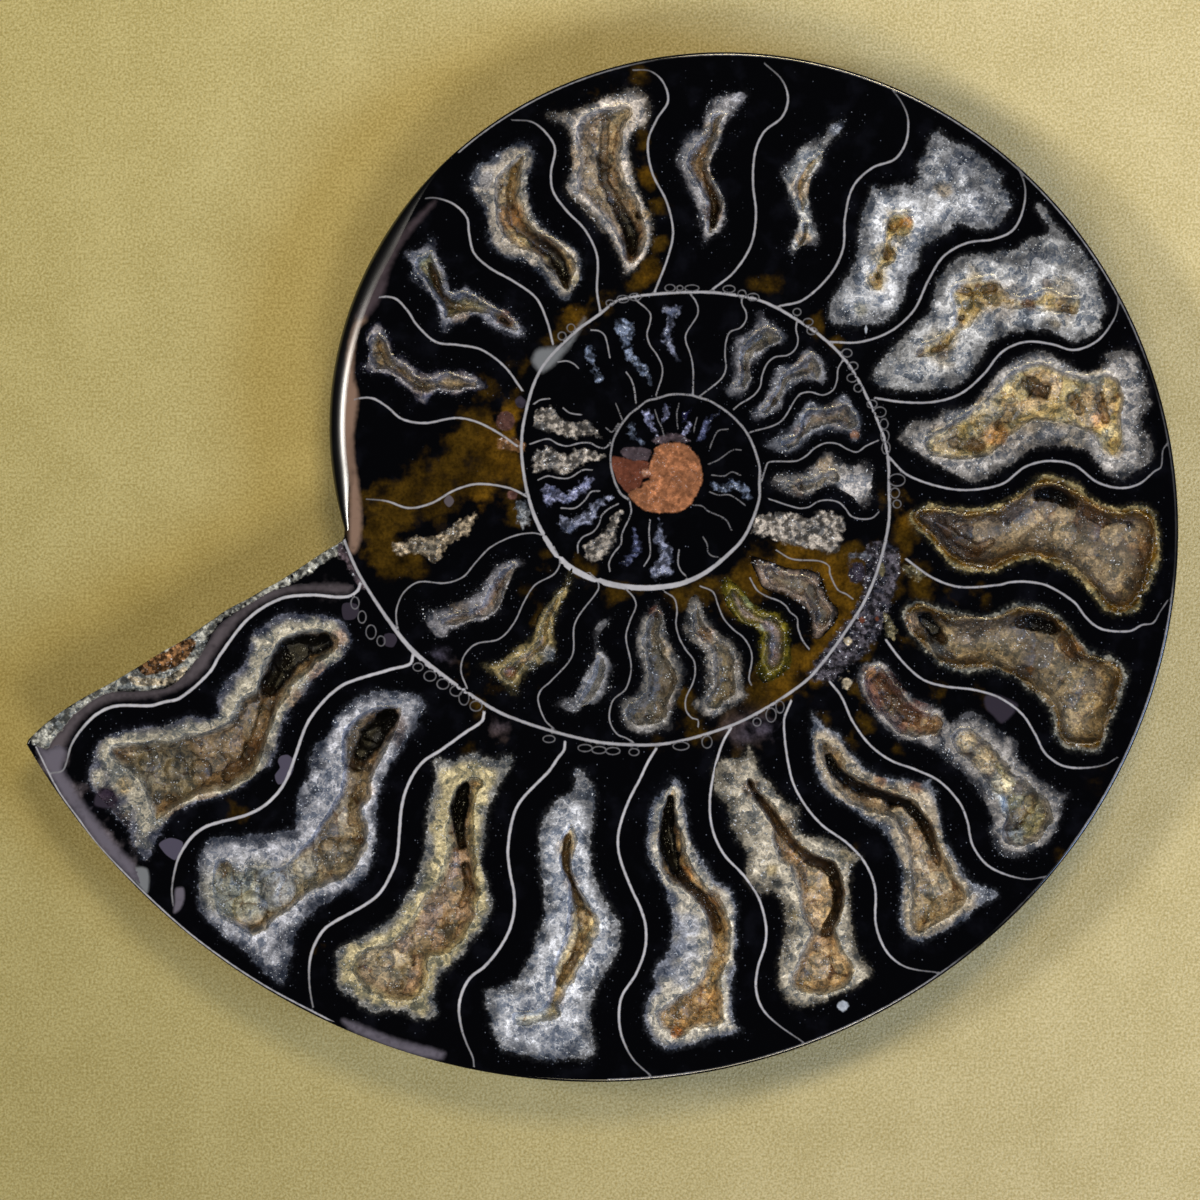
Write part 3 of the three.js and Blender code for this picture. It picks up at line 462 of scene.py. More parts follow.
        outline="""365,338 378,322 389,338 395,356 402,356 420,372 429,372 435,369 469,372 487,385
        485,389 466,391 456,396 439,393 432,396 427,404 419,402 407,388 399,383 391,375 368,372 361,364
        367,359 369,350""",
        mouths="""371,342 377,333 383,338 393,362 404,366 416,378 430,380 448,376 474,384 458,388
        440,387 428,392 418,390 392,370 376,368 370,358""",
        slot="grey", tints="smoke green sand tan", outer=(0.36, 0.33, 0.45), inner=(0.41, 0.37, 0.3),
        depth=34, deep=13, lumps=(7, 3), grain=(3, 1.4), round=0.3,
        wells="380,344,4,6 388,362,4,6 402,374,4,8 420,385,4,6",
        spots="384,350,9,olive,0.6 420,386,12,tan,0.7 455,383,12,sand,0.6 428,396,5,white,0.6",
    ),
    dict(
        outline="""420,608 425,605 433,608 443,608 452,603 462,600 479,586 490,573 495,565 516,558
        524,560 523,566 514,573 498,610 484,622 473,622 455,630 449,631 447,637 436,637 421,616""",
        mouths="514,566 504,588 498,604 486,615 440,626 445,619 478,606 496,580",
        slot="grey", tints="smoke milk tan tan", outer=(0.29, 0.26, 0.25), inner=(0.22, 0.18, 0.15),
        depth=32, deep=9, lumps=(6, 2.5), grain=(3, 1.3), round=0.3,
        spots="""500,585,7,brown,0.7 478,612,7,brown,0.5 440,632,8,white,0.8 435,615,8,grey,0.6
        460,610,10,sand,0.7""",
    ),
    dict(
        outline="""572,568 559,590 538,616 535,629 527,641 516,646 500,660 480,665 506,687 512,695
        518,695 521,685 529,673 548,661 555,662 555,640 558,611 571,590 571,584""",
        mouths="""563,590 550,616 546,646 534,656 522,668 512,682 502,672 514,660 530,650 540,636
        545,620""",
        slot="ochre", tints="olive yellow ochre sand", outer=(0.38, 0.37, 0.35), inner=(0.91, 0.82, 0.95),
        depth=32, deep=9, lumps=(6, 2.5), grain=(3, 1.4), round=0.2,
        spots="548,654,9,white,0.8 510,672,7,rust,0.7 530,660,10,cream,0.6 550,610,9,olive,0.7",
    ),
    dict(
        outline="""609,617 596,626 593,650 595,658 590,664 577,688 573,697 564,698 556,701 556,706
        578,713 585,706 594,706 609,690 610,678 613,666 600,644 600,634 609,622""",
        mouths="598,656 603,660 604,672 592,696 580,702 592,676",
        slot="white", tints="smoke milk grey sand", outer=(0.28, 0.26, 0.25), inner=(0.15, 0.15, 0.15),
        depth=28, deep=7, lumps=(6, 2.5), grain=(3, 1.3), round=0.3,
        spots="600,625,6,white,0.6 570,704,9,milk,0.6 598,690,7,white,0.5",
    ),
    dict(
        outline="""659,603 642,617 635,643 642,668 638,691 620,704 622,724 639,734.5 662,729 672,729
        673,712 686,672 683,662 676,654 670,641""",
        mouths="""656,612 643,632 650,675 648,690 640,700 630,708 628,718 638,725 665,718 667,704
        677,676 664,650 660,635 660,622""",
        slot="tan", tints="smoke grey sand tan", outer=(0.57, 0.51, 0.45), inner=(0.15, 0.15, 0.15),
        depth=34, deep=11, lumps=(7, 2.5), grain=(3.4, 1.3), round=0.4,
        wells="656,614,4,5",
        spots="""655,613,7,rust,0.8 665,680,14,tan,0.8 660,650,12,sand,0.8 645,725,10,milk,0.7
        635,705,10,grey,0.7 664,705,10,brown,0.3""",
    ),
    dict(
        outline="""694,595 689,603 685,627 698,648 704,653 704,663 706,686 700,696 694,699 693,706
        710,717 721,715 730,707 746,697 743,685 743,666 734,643 721,636 713,628 698,598""",
        mouths="""697,606 694,628 702,640 712,650 715,680 711,692 704,702 714,708 726,700 736,692
        732,658 724,645 712,636 703,624""",
        slot="grey", tints="grey grey sand grey", outer=(0.68, 0.59, 0.5), inner=(0.29, 0.25, 0.16),
        depth=34, deep=10, lumps=(6, 2.5), grain=(3.2, 1.3), round=0.3,
        spots="705,635,8,orange,0.4 722,690,12,sand,0.6 715,709,9,white,0.7 735,665,8,ochre,0.4",
    ),
    dict(
        outline="""723,580 736,584 758,609 768,610 781,615 790,631 790,644 789,666 765,683 760,679
        758,669 760,657 758,644 760,636 753,628 742,623 726,604""",
        mouths="""731,590 740,597 750,610 762,617 776,621 783,632 780,664 770,671 766,660 768,645
        766,632 754,622 741,616 733,604""",
        slot="ochre", tints="ochre ochre sand grey", outer=(1.14, 1.7, 1.7), inner=(0.4, 0.35, 0.46),
        depth=30, deep=9, lumps=(6, 2.5), grain=(3.2, 1.3), round=0.3,
        wells="776,620,4,5",
        spots="765,626,6,cream,0.8 776,621,5,dark,0.7 774,650,12,brown,0.4 745,605,9,olive,0.6",
        knobs="765,627,5,4",
    ),
    dict(
        outline="""752,556 791,569 806,569 818,574 824,585 827,597 838,610 835,622 819,639 811,636
        808,612 787,597 763,588 758,577 752,565""",
        mouths="""762,565 790,576 806,577 815,584 819,598 829,610 826,622 817,629 815,612 804,598
        788,589 772,584 764,575""",
        slot="cream", tints="ochre sand sand sand", outer=(0.25, 0.22, 0.25), inner=(0.21, 0.19, 0.17),
        depth=30, deep=8, lumps=(6, 2.5), grain=(3.2, 1.2), round=0.4,
        spots="774,567,6,milk,0.8 790,583,12,cream,0.6 822,617,10,smoke,0.8 812,590,8,grey,0.6",
    ),
    dict(
        outline="""759,311 753,327 733,342 733,366 729,386 725,390 728,396 741,397 752,380 750,368
        772,348 785,343 787,337 774,321 767,319""",
        mouths="742,350 741,375 737,386 745,388 749,378 747,362 753,352 778,338 768,330 760,332",
        slot="grey", tints="smoke grey sand grey", outer=(0.55, 0.52, 0.54), inner=(0.15, 0.15, 0.15),
        depth=28, deep=8, lumps=(5, 2.2), grain=(2.8, 1.2), round=0.3,
        wells="745,368,3,4",
        spots="744,368,6,brown,0.5 762,336,12,sand,0.6",
    ),
    dict(
        outline="""807,348 796,362 782,364 774,369 762,401 750,415 757,419 772,416 782,409 785,397
        804,381 816,382 823,386 828,375 820,356""",
        mouths="""778,385 774,397 762,411 770,412 790,380 804,374 818,377 820,368 811,356 803,364
        780,375""",
        slot="grey", tints="smoke grey sand sand", outer=(0.51, 0.49, 0.52), inner=(0.16, 0.15, 0.15),
        depth=28, deep=8, lumps=(5, 2.2), grain=(2.8, 1.2), round=0.3,
        wells="774,400,3,4",
        spots="773,400,6,brown,0.5 805,366,12,tan,0.5",
    ),
    dict(
        outline="""842,393 829,403 820,404 812,400 803,406 791,425 764,446 788,454 799,449 814,435
        847,433 852,441 858,440 862,417 854,406 849,396""",
        mouths="""803,420 800,432 793,440 783,444 788,449 806,433 820,426 838,424 852,428 856,418
        846,404 834,409 808,412""",
        slot="grey", tints="smoke grey sand tan", outer=(0.46, 0.46, 0.51), inner=(0.2, 0.19, 0.21),
        depth=28, deep=9, lumps=(5, 2.2), grain=(2.8, 1.2), round=0.3,
        wells="802,426,3,5 / 796,437,3,5",
        spots="799,431,7,brown,0.6 835,415,14,tan,0.5 855,434,5,orange,0.7",
    ),
    dict(
        outline="""808,468 803,473 782,473 772,478 774,485 796,497 810,496 820,489 830,486 852,496
        863,509 870,502 872,467 866,462 855,465 844,463 829,452""",
        mouths="787,484 812,480 824,474 836,472 838,480 826,480 816,486 800,490",
        slot="white", tints="smoke grey sand tan", outer=(0.77, 0.68, 0.6), inner=(0.15, 0.15, 0.15),
        depth=28, deep=7, lumps=(5, 2.2), grain=(2.8, 1.2), round=0.3,
        wells="800,486,3,5",
        spots="800,486,8,brown,0.6 857,485,17,white,1.25 825,466,10,sand,0.6",
    ),
]

# Marks that lie flush in the cut: tint, share of crystal or, below 0, of smear, and outline
MARKS = [
    ("dun", 0.9, """393,543 402,543 412,539 436,536 461,520 477,514 472,522 470,531 461,536 445,549
    442,557 436,561 417,553 404,555 396,553"""),
    ("fawn", 0.9, """757,518 787,513 809,519 816,512 826,511 846,521 843,531 835,552 810,548 797,547
    774,538 753,531"""),
    ("frost", 0.9, "662,308 681,307 680,312 674,319 672,340 678,361 668,347 663,339 668,316"),
    ("steel", 0.9, "615,322 631,322 633,332 630,342 633,353 648,370 651,384 636,366 628,360 621,339"),
    ("steel", 0.9, "585,350 591,346 594,355 594,366 604,379 596,380 590,361 585,356"),
    ("fawn", 0.9, """537,411 545,409 553,407 559,417 569,422 590,424 600,438 591,435 569,437 558,432
    546,431 537,427 534,419"""),
    ("fawn", 0.9, """533,456 550,447 556,452 567,454 575,450 589,450 603,458 582,464 564,473 554,470
    542,470 536,473"""),
    ("ice", 0.9, """542,491 548,486 567,494 586,478 592,481 589,488 581,494 575,500 564,502 554,500
    548,505"""),
    ("frost", 0.9, """559,521 564,516 575,519 599,499 612,495 609,500 601,505 591,524 580,526 570,532
    561,528"""),
    ("fawn", 0.9, "583,548 587,543 596,540 618,510 623,510 616,528 617,539 602,558 591,560"),
    ("navy", 0.9, "634,529 640,552 622,567 621,563 632,550"),
    ("frost", 0.9, """660,520 657,529 654,539 659,548 660,558 652,567 653,577 673,574 671,566 673,552
    667,545"""),
    ("steel", 0.9, "628,432 632,424 636,438 644,441 645,445 630,437"),
    ("ice", 0.9, "644,412 650,412 652,420 658,436 644,418"),
    ("ice", 0.9, "665,403 668,410 667,420 663,421"),
    ("night", 0.9, "690,410 686,417 683,420 685,413"),
    ("ice", 0.9, "690,424 684,435 682,432 686,425"),
    ("navy", 0.9, "720,414 711,419 706,437 700,442 698,439 701,430 702,422"),
    ("steel", 0.9, "712,482 720,486 728,484 732,480 748,488 751,495 749,501 740,490 716,489"),
    ("grey", -0.5, "532.6,361 538,350 564,345 585,318 568,348 543,372"),
    ("terra", 0.35, """684,444 699,459 702.5,480 688,507 668,513 645,510 628,493 641,487 643,483
    650,478 648.5,470 655,450 663,444"""),
    ("rust", 0.15, "612,457 631,460 648,462 648,470 650,477 643,479 640,487 633,489 628,493 616,478"),
    ("plum", 0.2, "620,452 628,447 650,450 648,460 640,460 631,460"),
    ("plum", 0.5, "652,441 664,435 678,434 690,441 684,443 672,441 662,444"),
    ("peach", 0.4, "641,471 648,469 650,474 644,477"),
    ("crush", 1.0, """866,548 880,540 895,548 900,570 882,630 868,650 845,668 826,682 808,674 858,604
    864,578"""),
    ("dusk", 0.6, "851,564 862,562 866,570 862,580 853,582 848,573"),
    ("smoke", 0.8, "845,558 856,552 870,554 874,562 862,557 850,561"),
    ("olive", 0.9, "883,612 890,616 895,628 894,640 887,634"),
    ("olive", 0.9, "903,565 914,566 925,574 920,580 908,574"),
    ("sand", 0.5, "848,636 853,641 848,646 843,641"),
    ("sand", 0.5, "847,677 853,683 847,689 841,683"),
    ("olive", 0.5, "882,562 886,570 882,578 878,570"),
    ("rust", 0.2, "862,616 866,620 862,624 858,620"),
    ("rust", 0.2, "877,616 880,619 877,622 874,619"),
    ("dusk", 0.0, "343,604 356,604 359,611 354,619 344,619"),
    ("dusk", 0.0, "385,634 394,634 397,640 393,647 386,646 383,640"),
    ("slate", 0.0, "281,756 288,755 294,762 291,775 284,783 278,784 275,775 280,768 278,761"),
    ("dusk", -0.15, "100,788 118,788 117,806 95,805"),
    ("slate", 0.0, "170,838 183,843 175,860 159,845"),
    ("lilac", -0.2, "176,889 183,888 184,899 180,909 174,913 175,902"),
    ("grey", -0.2, "128,870 147,869 147,893 138,884"),
    ("shell", 0.0, "449,495 454,501 449,507 444,501"),
    ("umber", 0.2, "508,491 517,492 516,499 508,498"),
    ("grey", 0.9, "516,503 524,501 530,510 529,524 521,528"),
    ("umber", 0.3, "505.6,411 512,414 515.6,421 512,428 505.6,431 499,428 495.6,421 499,414"),
    ("umber", 0.1, "505.6,416 510,419 510,424 505.6,426.5 501,424 501,418"),
    ("dusk", 0.1, "521,396 527,404 522,408 517,406 515,400"),
    ("brown", 0.6, "497,441 512,438 525,444 522,452 498,448"),
    ("dusk", -0.2, "985,697 992,694 1010,700 1018,706 1002,723 993,715 986,708"),
    ("milk", 0.2, "843,1000 849,1006 843,1012 837,1006"),
    ("milk", 0.0, "866,325 867.5,329 866,334 864.5,329"),
    ("lilac", -0.6, "343,1020 400,1041 444,1053 440,1059 410,1053 355,1032"),
    ("plum", -0.6, """435,202 402,243 388,272 384,290 366,317 355,318 360,312 377,283 383,268 390,258
    405,230"""),
    ("blush", -0.45, """368,318 358,329 353,372 357.6,396 353,444 361,508 360,540 354,553 349.6,550
    350,484 345.6,452 343,404 345.6,390 345.6,372 350,338 357,321"""),
    ("mist", 0.9, """343,540 280,580 226,610 181,641 79,700 50,719 39,729 30,737 40,748 56,746 64,734
    92,708 104,696 124,690 150,690 170,684 190,668 203,650 212,632 224,618 300,578 320,564 336,556"""),
    ("brown", 1.0, "138,668 150,658 165,652 185,640 196,645 180,665 160,672 145,676"),
    ("brown", 1.0, "182,643 192,638 196,645 188,652 180,650"),
    ("sand", 0.8, "128,676 142,678 165,678 180,668 188,666 182,676 168,685 132,685"),
    ("shell", -0.7, """352,586 346,592 312,590 280,594 244,615 214,652 203,670 176,689 140,697 116,699
    98,705 78,722 66,742 56,764 45,760 52,740 62,730 72,716 104,694 140,692 172,686 204,650 218,628
    244,608 278,589"""),
    ("lilac", -0.7, """37,745 46,750 60,745 66,752 62,768 70,782 80,800 118,848 134,866 140,884 99,844
    78,815 58,788"""),
    ("plum", 0.6, "340,542 358,575 366,588 360,588 344,560 337,552"),
]

# Soft washes of colour: tint, then across, down, reach and strength of each of its spots
WASHES = [
    ("honey", """500,440,16,.8 505,465,14,.7 512,415,10,.6 800,555,16,.9 835,575,16,.9 845,615,16,.9
    832,650,16,.9 805,668,14,.8 765,575,14,.8 735,600,12,.6 780,690,12,.6 905,520,10,.6 895,560,10,.6
    480,500,14,.5 645,175,8,.6 648,275,9,.6 575,318,10,.5"""),
    ("stain", """470,435,28,1 500,455,22,1 455,470,22,1 420,495,26,1 385,505,22,1 372,530,22,1
    385,555,22,1 440,495,22,.9 480,480,20,.9 512,480,14,.9 515,520,14,.8 410,565,16,.8 360,500,12,.8
    510,400,14,.6 490,385,14,.5 520,365,14,.6 735,590,22,1 760,570,20,1 790,550,20,1 820,540,18,.9
    850,560,20,.9 855,600,22,1 835,640,24,1 800,670,22,1 765,690,22,1 730,715,18,.8 700,730,16,.7
    680,600,14,.8 700,590,16,.9 660,735,14,.6 685,700,12,.8 615,590,14,.9 640,590,12,.6 590,575,14,.6
    575,560,12,.6 545,560,12,.5 530,590,12,.5 540,620,12,.6 895,500,16,.7 900,540,16,.8 915,580,20,.8
    950,595,18,.6 990,597,16,.5 905,640,14,.6 890,590,14,.7 1000,480,12,.3 640,120,10,.8 646,145,10,.8
    650,180,10,.8 658,205,10,.9 660,240,12,.9 652,265,12,.9 640,285,12,.9 600,300,16,.7 575,318,14,.8
    555,340,12,.7 780,290,14,.6 760,285,12,.4 815,325,14,.7 835,340,12,.5 860,690,14,.7 865,720,14,.6
    900,750,12,.6 940,690,12,.5 980,700,14,.4 870,650,12,.6 600,92,14,.4 640,75,12,.4 560,105,12,.4
    1060,860,20,.25 1100,780,16,.2 505,690,14,.6 480,700,16,.5 460,670,12,.4 545,690,10,.4 735,760,14,.5
    760,745,12,.4 850,850,10,.4 830,720,12,.5 850,740,10,.4 470,745,12,.4 500,735,12,.4 235,812,16,.4
    320,950,10,.4 318,985,10,.3 545,900,8,.3 650,860,8,.3 1120,600,12,.5"""),
    ("shell", """52,770,16,.8 72,795,16,.8 92,820,16,.8 112,845,16,.7 132,868,14,.6 330,590,14,.3
    200,665,14,.4 150,694,12,.3"""),
    ("slate", "735,725,14,.4 755,730,14,.5 775,728,12,.4 440,660,14,.3 500,730,12,.3"),
]

# Tints as the eye reads them, 0 to 255
TINTS = {
    "white": (178, 183, 190), "milk": (158, 163, 171), "blue": (116, 124, 140), "grey": (108, 110, 112),
    "green": (146, 146, 130), "cream": (182, 174, 152), "yellow": (168, 150, 104), "orange": (164, 104, 42),
    "sand": (156, 143, 120), "tan": (150, 130, 102), "pink": (162, 138, 120), "brown": (98, 70, 44),
    # The tint dark is painted shade, laid as spots in the deep wells of the hollows
    "dark": (30, 20, 14), "dun": (122, 109, 90), "steel": (82, 90, 106), "mauve": (78, 70, 67),
    "olive": (98, 90, 66), "rust": (92, 52, 38), "ochre": (64, 46, 9), "smoke": (70, 72, 78),
    "slate": (72, 68, 82), "dusk": (46, 41, 50), "plum": (68, 58, 62), "terra": (138, 90, 61),
    "shell": (80, 73, 76), "blush": (124, 100, 85), "stain": (54, 38, 6), "fawn": (117, 110, 102),
    "lilac": (94, 89, 98), "umber": (74, 50, 44), "peach": (152, 110, 88), "honey": (96, 66, 11),
    "mist": (122, 121, 113), "crush": (54, 51, 56), "ice": (112, 114, 138), "navy": (58, 62, 84),
    "frost": (92, 95, 110), "night": (30, 30, 56),
}

# Colours as shares of light
BLACK = (0.0006, 0.0006, 0.0011)
BLACK_HAZE = (0.006, 0.0063, 0.01)
BLACK_DOTS = (0.16, 0.175, 0.22)
SHELL_LINE = (0.42, 0.41, 0.43)
# Colour of the painted glints on crystal
PAINTED_GLINT = (0.75, 0.78, 0.82)
COOL = (0.8, 0.92, 1.12)
WHITE = (1, 1, 1)
DARK_SHELL = (0.010, 0.008, 0.008)
BROWN_SHELL = (0.045, 0.028, 0.022)
NACRE = (0.17, 0.10, 0.085)
SUTURE = (0.20, 0.16, 0.12)
BROWN_ROCK = (0.10, 0.075, 0.05)
GREY_ROCK = (0.30, 0.29, 0.26)
RUSTY_ROCK = (0.12, 0.05, 0.02)
DARK_STRAW = (0.47, 0.38, 0.16)
PALE_STRAW = (0.73, 0.62, 0.34)
STRAW_WITHOUT_SHEEN = (1, 1, 0.78)
SKY = (0.9, 0.95, 1.0)

# Lines of the cut: half width and tone
WALL_LINE = (1.25, 0.76)
# The line along the edge beside the broken end is partly shell and partly a painted highlight
EDGE_SHELL_AND_HIGHLIGHT_LINE = (0.6, 0.9)
# The thin line round the outer edge is partly shell and partly a painted highlight
OUTER_SHELL_AND_HIGHLIGHT_LINE = (0.5, 0.62)
SEPTUM_LINE = (1.3, 1.0)
INNER_SEPTUM_LINE = (0.55, 0.58)
CORE_SEPTUM_LINE = (0.45, 0.36)
LOOP_LINE = (0.42, 0.32)

# Lamps: bearing anticlockwise from +X and height over the floor in degrees, distance and side in metres,
# power and colour
LAMPS = {
    "key": (336, 49, 1.3, 0.45, 12.6, (0.42, 0.6, 1.0)),
    "fill": (75, 73, 1.2, 0.18, 4.6, (1.0, 0.82, 0.44)),
    "left": (174, 61, 0.9, 0.14, 3.0, (1.0, 0.95, 0.87)),
    "low": (285, 68, 1.2, 0.26, 4.4, (1.0, 0.88, 0.62)),
}
SKY_STRENGTH = 0.03

# Camera and floor, in metres
VIEW_CENTRE = (600, 600)  # across and down on the cut
VIEW_WIDTH = 0.12
VIEW_HEIGHT = 0.9  # over the cut
SENSOR_WIDTH = 36  # in millimetres
FLOOR_HALF = 2.0

# Relief of the back and the broken end
RIBS = 34  # in a turn
RIB_BEND = 5
RIB_HEIGHT = 2.4
LUMP_HEIGHT = 0.5
SUTURES = 21  # in a turn
BROKEN_LARGE = (13, 9)  # size and depth of the large crystals
BROKEN_SMALL = (5, 3)
BROKEN_ROUNDED = 0.2  # share of rounded crystals

# Steps of the meshes
LINE_STEP = 0.625
RAIL_EVERY = 4  # every fourth spot of a line
RAIL_GAP = 1.8
RIM_STEP = 2.5
OPEN_STEP = 6
CLOSE_STEP = 2.2  # in the innermost turns
CLOSE_REACH = 96
SPOT_GAP = 0.9  # least distance from an edge
BOWL_STEP = 1.5
BAND_STEP = 3
COLUMN_STEP = 1  # in degrees
BREAK_STEP = 4.5
MARK_REACH = 8  # greatest distance kept as a value
FRINGE_REACH = 30
UNDER_GAP = 3.5  # from a lining to the floor of its pocket

# Salts of the random values of each use
BREAK_SALT = 51
FINE_BREAK_SALT = 52
FLANK_SALT = 61
BROKEN_SALT = 71
FINE_BROKEN_SALT = 81
RIM_SALT = 37
OPEN_SALT = 5
CLOSE_SALT = 7
BOWL_SALT = 11
BAND_SALT = 13
EDGE_SALT = 31
MOUTH_HIGHLIGHT_SALT = 33
SPOT_SALT = 41
HOLLOW_SALT = 100
SALTS_OF_ONE = 20


def linear(tint):
    """Red, green and blue of a tint as shares of light."""
    share = np.array(TINTS[tint]) / 255
    return np.where(share > 0.04045, ((share + 0.055) / 1.055) ** 2.4, share / 12.92)


def numbers(text):
    """Rows of numbers from a text of words."""
    return [[float(value) for value in word.split(",")] for word in text.split()]


def place(across, down):
    """Spot in the frame of a spot read on the cut."""
    return np.array([across - MIDDLE[0] + COIL[0], MIDDLE[1] - down + COIL[1]])


def places(text):
    return np.array([place(across, down) for across, down in numbers(text)])


def fade(low, high, value):
    """Smooth step from 0 at low to 1 at high."""
    share = np.clip((value - low) / (high - low), 0, 1)
    return share * share * (3 - 2 * share)


def blend(first, second, share):
    return first + (second - first) * np.asarray(share)[:, None]


def curve(knots, step, closed=False):
    """Smooth curve through knots, as points about one step apart."""
    if closed:
        knots = np.vstack((knots[-1:], knots, knots[:2]))
    else:
        knots = np.vstack((2 * knots[0] - knots[1], knots, 2 * knots[-1] - knots[-2]))
    gaps = np.linalg.norm(np.diff(knots, axis=0), axis=1)
    pieces = []
    for index in range(1, len(knots) - 2):
        gap = gaps[index]
        start, end = knots[index], knots[index + 1]
        leaving = (end - knots[index - 1]) / (gaps[index - 1] + gap) * gap
        arriving = (knots[index + 2] - start) / (gap + gaps[index + 1]) * gap
        count = max(1, round(gap / step))
        t = np.arange(count)[:, None] / count
        pieces.append(
            start * (2 * t**3 - 3 * t**2 + 1)
            + leaving * (t**3 - 2 * t**2 + t)
            + end * (3 * t**2 - 2 * t**3)
            + arriving * (t**3 - t**2)
        )
    if not closed:
        pieces.append(knots[-2:-1])
    return np.vstack(pieces)


def sideways(path):
    """Unit normals of a path, to its right."""
    along = unit(np.gradient(path, axis=0))
    return np.column_stack((along[:, 1], -along[:, 0]))


def anticlockwise(loop):
    x, y = loop.T
    area = np.sum(x * np.roll(y, -1) - y * np.roll(x, -1))
    return loop if area > 0 else loop[::-1]


def within(spots, loop):
    """Whether each spot lies inside a closed loop."""
    x, y = spots.T
    result = np.zeros(len(spots), bool)
    for (ax, ay), (bx, by) in zip(loop, np.roll(loop, -1, axis=0)):
        if ay != by:
            crosses = (ay > y) != (by > y)
            result ^= crosses & (x < ax + (y - ay) * (bx - ax) / (by - ay))
    return result


def near_loop(spots, loop, margin=0):
    """Numbers of the spots in the box round a loop."""
    low, high = loop.min(axis=0) - margin, loop.max(axis=0) + margin
    return np.flatnonzero(np.all((spots > low) & (spots < high), axis=1))


def unit(vectors):
    return vectors / np.linalg.norm(vectors, axis=1)[:, None]


class Nearest:
    """Finds the nearest of many spots."""

    def __init__(self, spots):
        self.tree = kdtree.KDTree(len(spots))
        for number, (x, y) in enumerate(spots):
            self.tree.insert((x, y, 0), number)
        self.tree.balance()

    def find(self, spots):
        found = [self.tree.find((x, y, 0)) for x, y in spots]
        return np.array([number for _, number, _ in found]), np.array([gap for _, _, gap in found])


def chance(cells, salt):
    """Even random number from 0 to 1 for each whole cell."""
    x, y = np.asarray(cells).T.astype(np.int64)
    mixed = (x * 374761393 + y * 668265263 + salt * 974634777) & 0xFFFFFFFF
    for _ in range(2):
        mixed = ((mixed ^ (mixed >> 15)) * 2246822519) & 0xFFFFFFFF
    return (mixed ^ (mixed >> 13)) / 0xFFFFFFFF


def ripple(spots, size, salt):
    """Smooth noise from -1 to 1 with waves of a size."""
    cell = np.floor(spots / size)
    share = spots / size - cell
    across, up = (share * share * (3 - 2 * share)).T
    low = chance(cell, salt) * (1 - across) + chance(cell + (1, 0), salt) * across
    high = chance(cell + (0, 1), salt) * (1 - across) + chance(cell + (1, 1), salt) * across
    return 2 * (low * (1 - up) + high * up) - 1


def crystals(spots, size, rounded, salt):
    """Height from 0 to 1, tone and crease of the crystals at each spot, which are flat-sided points and domes
    grown together. The crease is 0 where two crystals meet."""
    home = np.floor(spots / size)
    best = np.full(len(spots), -9.0)
    second = np.full(len(spots), -9.0)
    tone = np.zeros(len(spots))
    for step in [(i, j) for i in (-1, 0, 1) for j in (-1, 0, 1)]:
        cell = home + step
        shift = np.column_stack((chance(cell, salt), chance(cell, salt + 1))) - 0.5
        away = spots / size - (cell + 0.5 + 0.8 * shift)
        turn = chance(cell, salt + 2) * math.tau
        sides = np.where(chance(cell, salt + 3) < 0.5, 4, 3)
        width = 0.62 + 0.3 * chance(cell, salt + 4)
        reach = np.full(len(spots), -9.0)
        for side in range(4):
            angle = turn + math.tau * np.minimum(side, sides - 1) / sides
            reach = np.maximum(reach, away[:, 0] * np.cos(angle) + away[:, 1] * np.sin(angle))
        lean = away[:, 0] * np.cos(turn * 3) + away[:, 1] * np.sin(turn * 3)
        tall = 0.55 + 0.45 * chance(cell, salt + 5)
        point = tall - np.maximum(reach - 0.16, 0) / width + 0.35 * lean
        dome = tall * np.sqrt(np.clip(1 - np.sum(away**2, axis=1) / width**2, 0, 1)) - 0.05
        height = np.where(chance(cell, salt + 6) < rounded, dome, point)
        tone = np.where(height > best, chance(cell, salt + 7), tone)
        second = np.maximum(second, np.minimum(best, height))
        best = np.maximum(best, height)
    return np.clip(best, 0, 1), tone, best - second


def grid(low, high, step, salt):
    """Loosely even spots over a rectangle."""
    across = np.arange(low[0], high[0], step)
    up = np.arange(low[1], high[1], step * 0.866)
    x, y = np.meshgrid(across, up)
    x = x + (np.arange(len(up)) % 2)[:, None] * step / 2
    spots = np.column_stack((x.ravel(), y.ravel()))
    cell = np.round(spots / step * 4)
    return spots + (np.column_stack((chance(cell, salt), chance(cell, salt + 1))) - 0.5) * step * 0.35


def triangles_over(spots, loops):
    """Triangles over spots that keep to closed loops, given as lists of spot numbers. Returns the spots, the
    triangles and the new number of each spot."""
    edges = [(a, b) for loop in loops for a, b in zip(loop, np.roll(loop, -1))]
    flat = [Vector(spot) for spot in spots]
    out, _, faces, origins, _, _ = delaunay_2d_cdt(flat, edges, [], 0, 1e-4, True)
    number = np.zeros(len(spots), int)
    for index, merged in enumerate(origins):
        number[merged] = index
    out = np.array([tuple(spot) for spot in out])
    faces = np.array([face for face in faces if len(face) == 3])
    a, b, c = (out[faces[:, corner]] for corner in range(3))
    turned = (b - a)[:, 0] * (c - a)[:, 1] - (b - a)[:, 1] * (c - a)[:, 0] < 0
    faces[turned] = faces[turned][:, ::-1]
    return out, faces, number


def shown(name, data):
    """Object of the scene."""
    made = bpy.data.objects.new(name, data)
    bpy.context.scene.collection.objects.link(made)
    return made


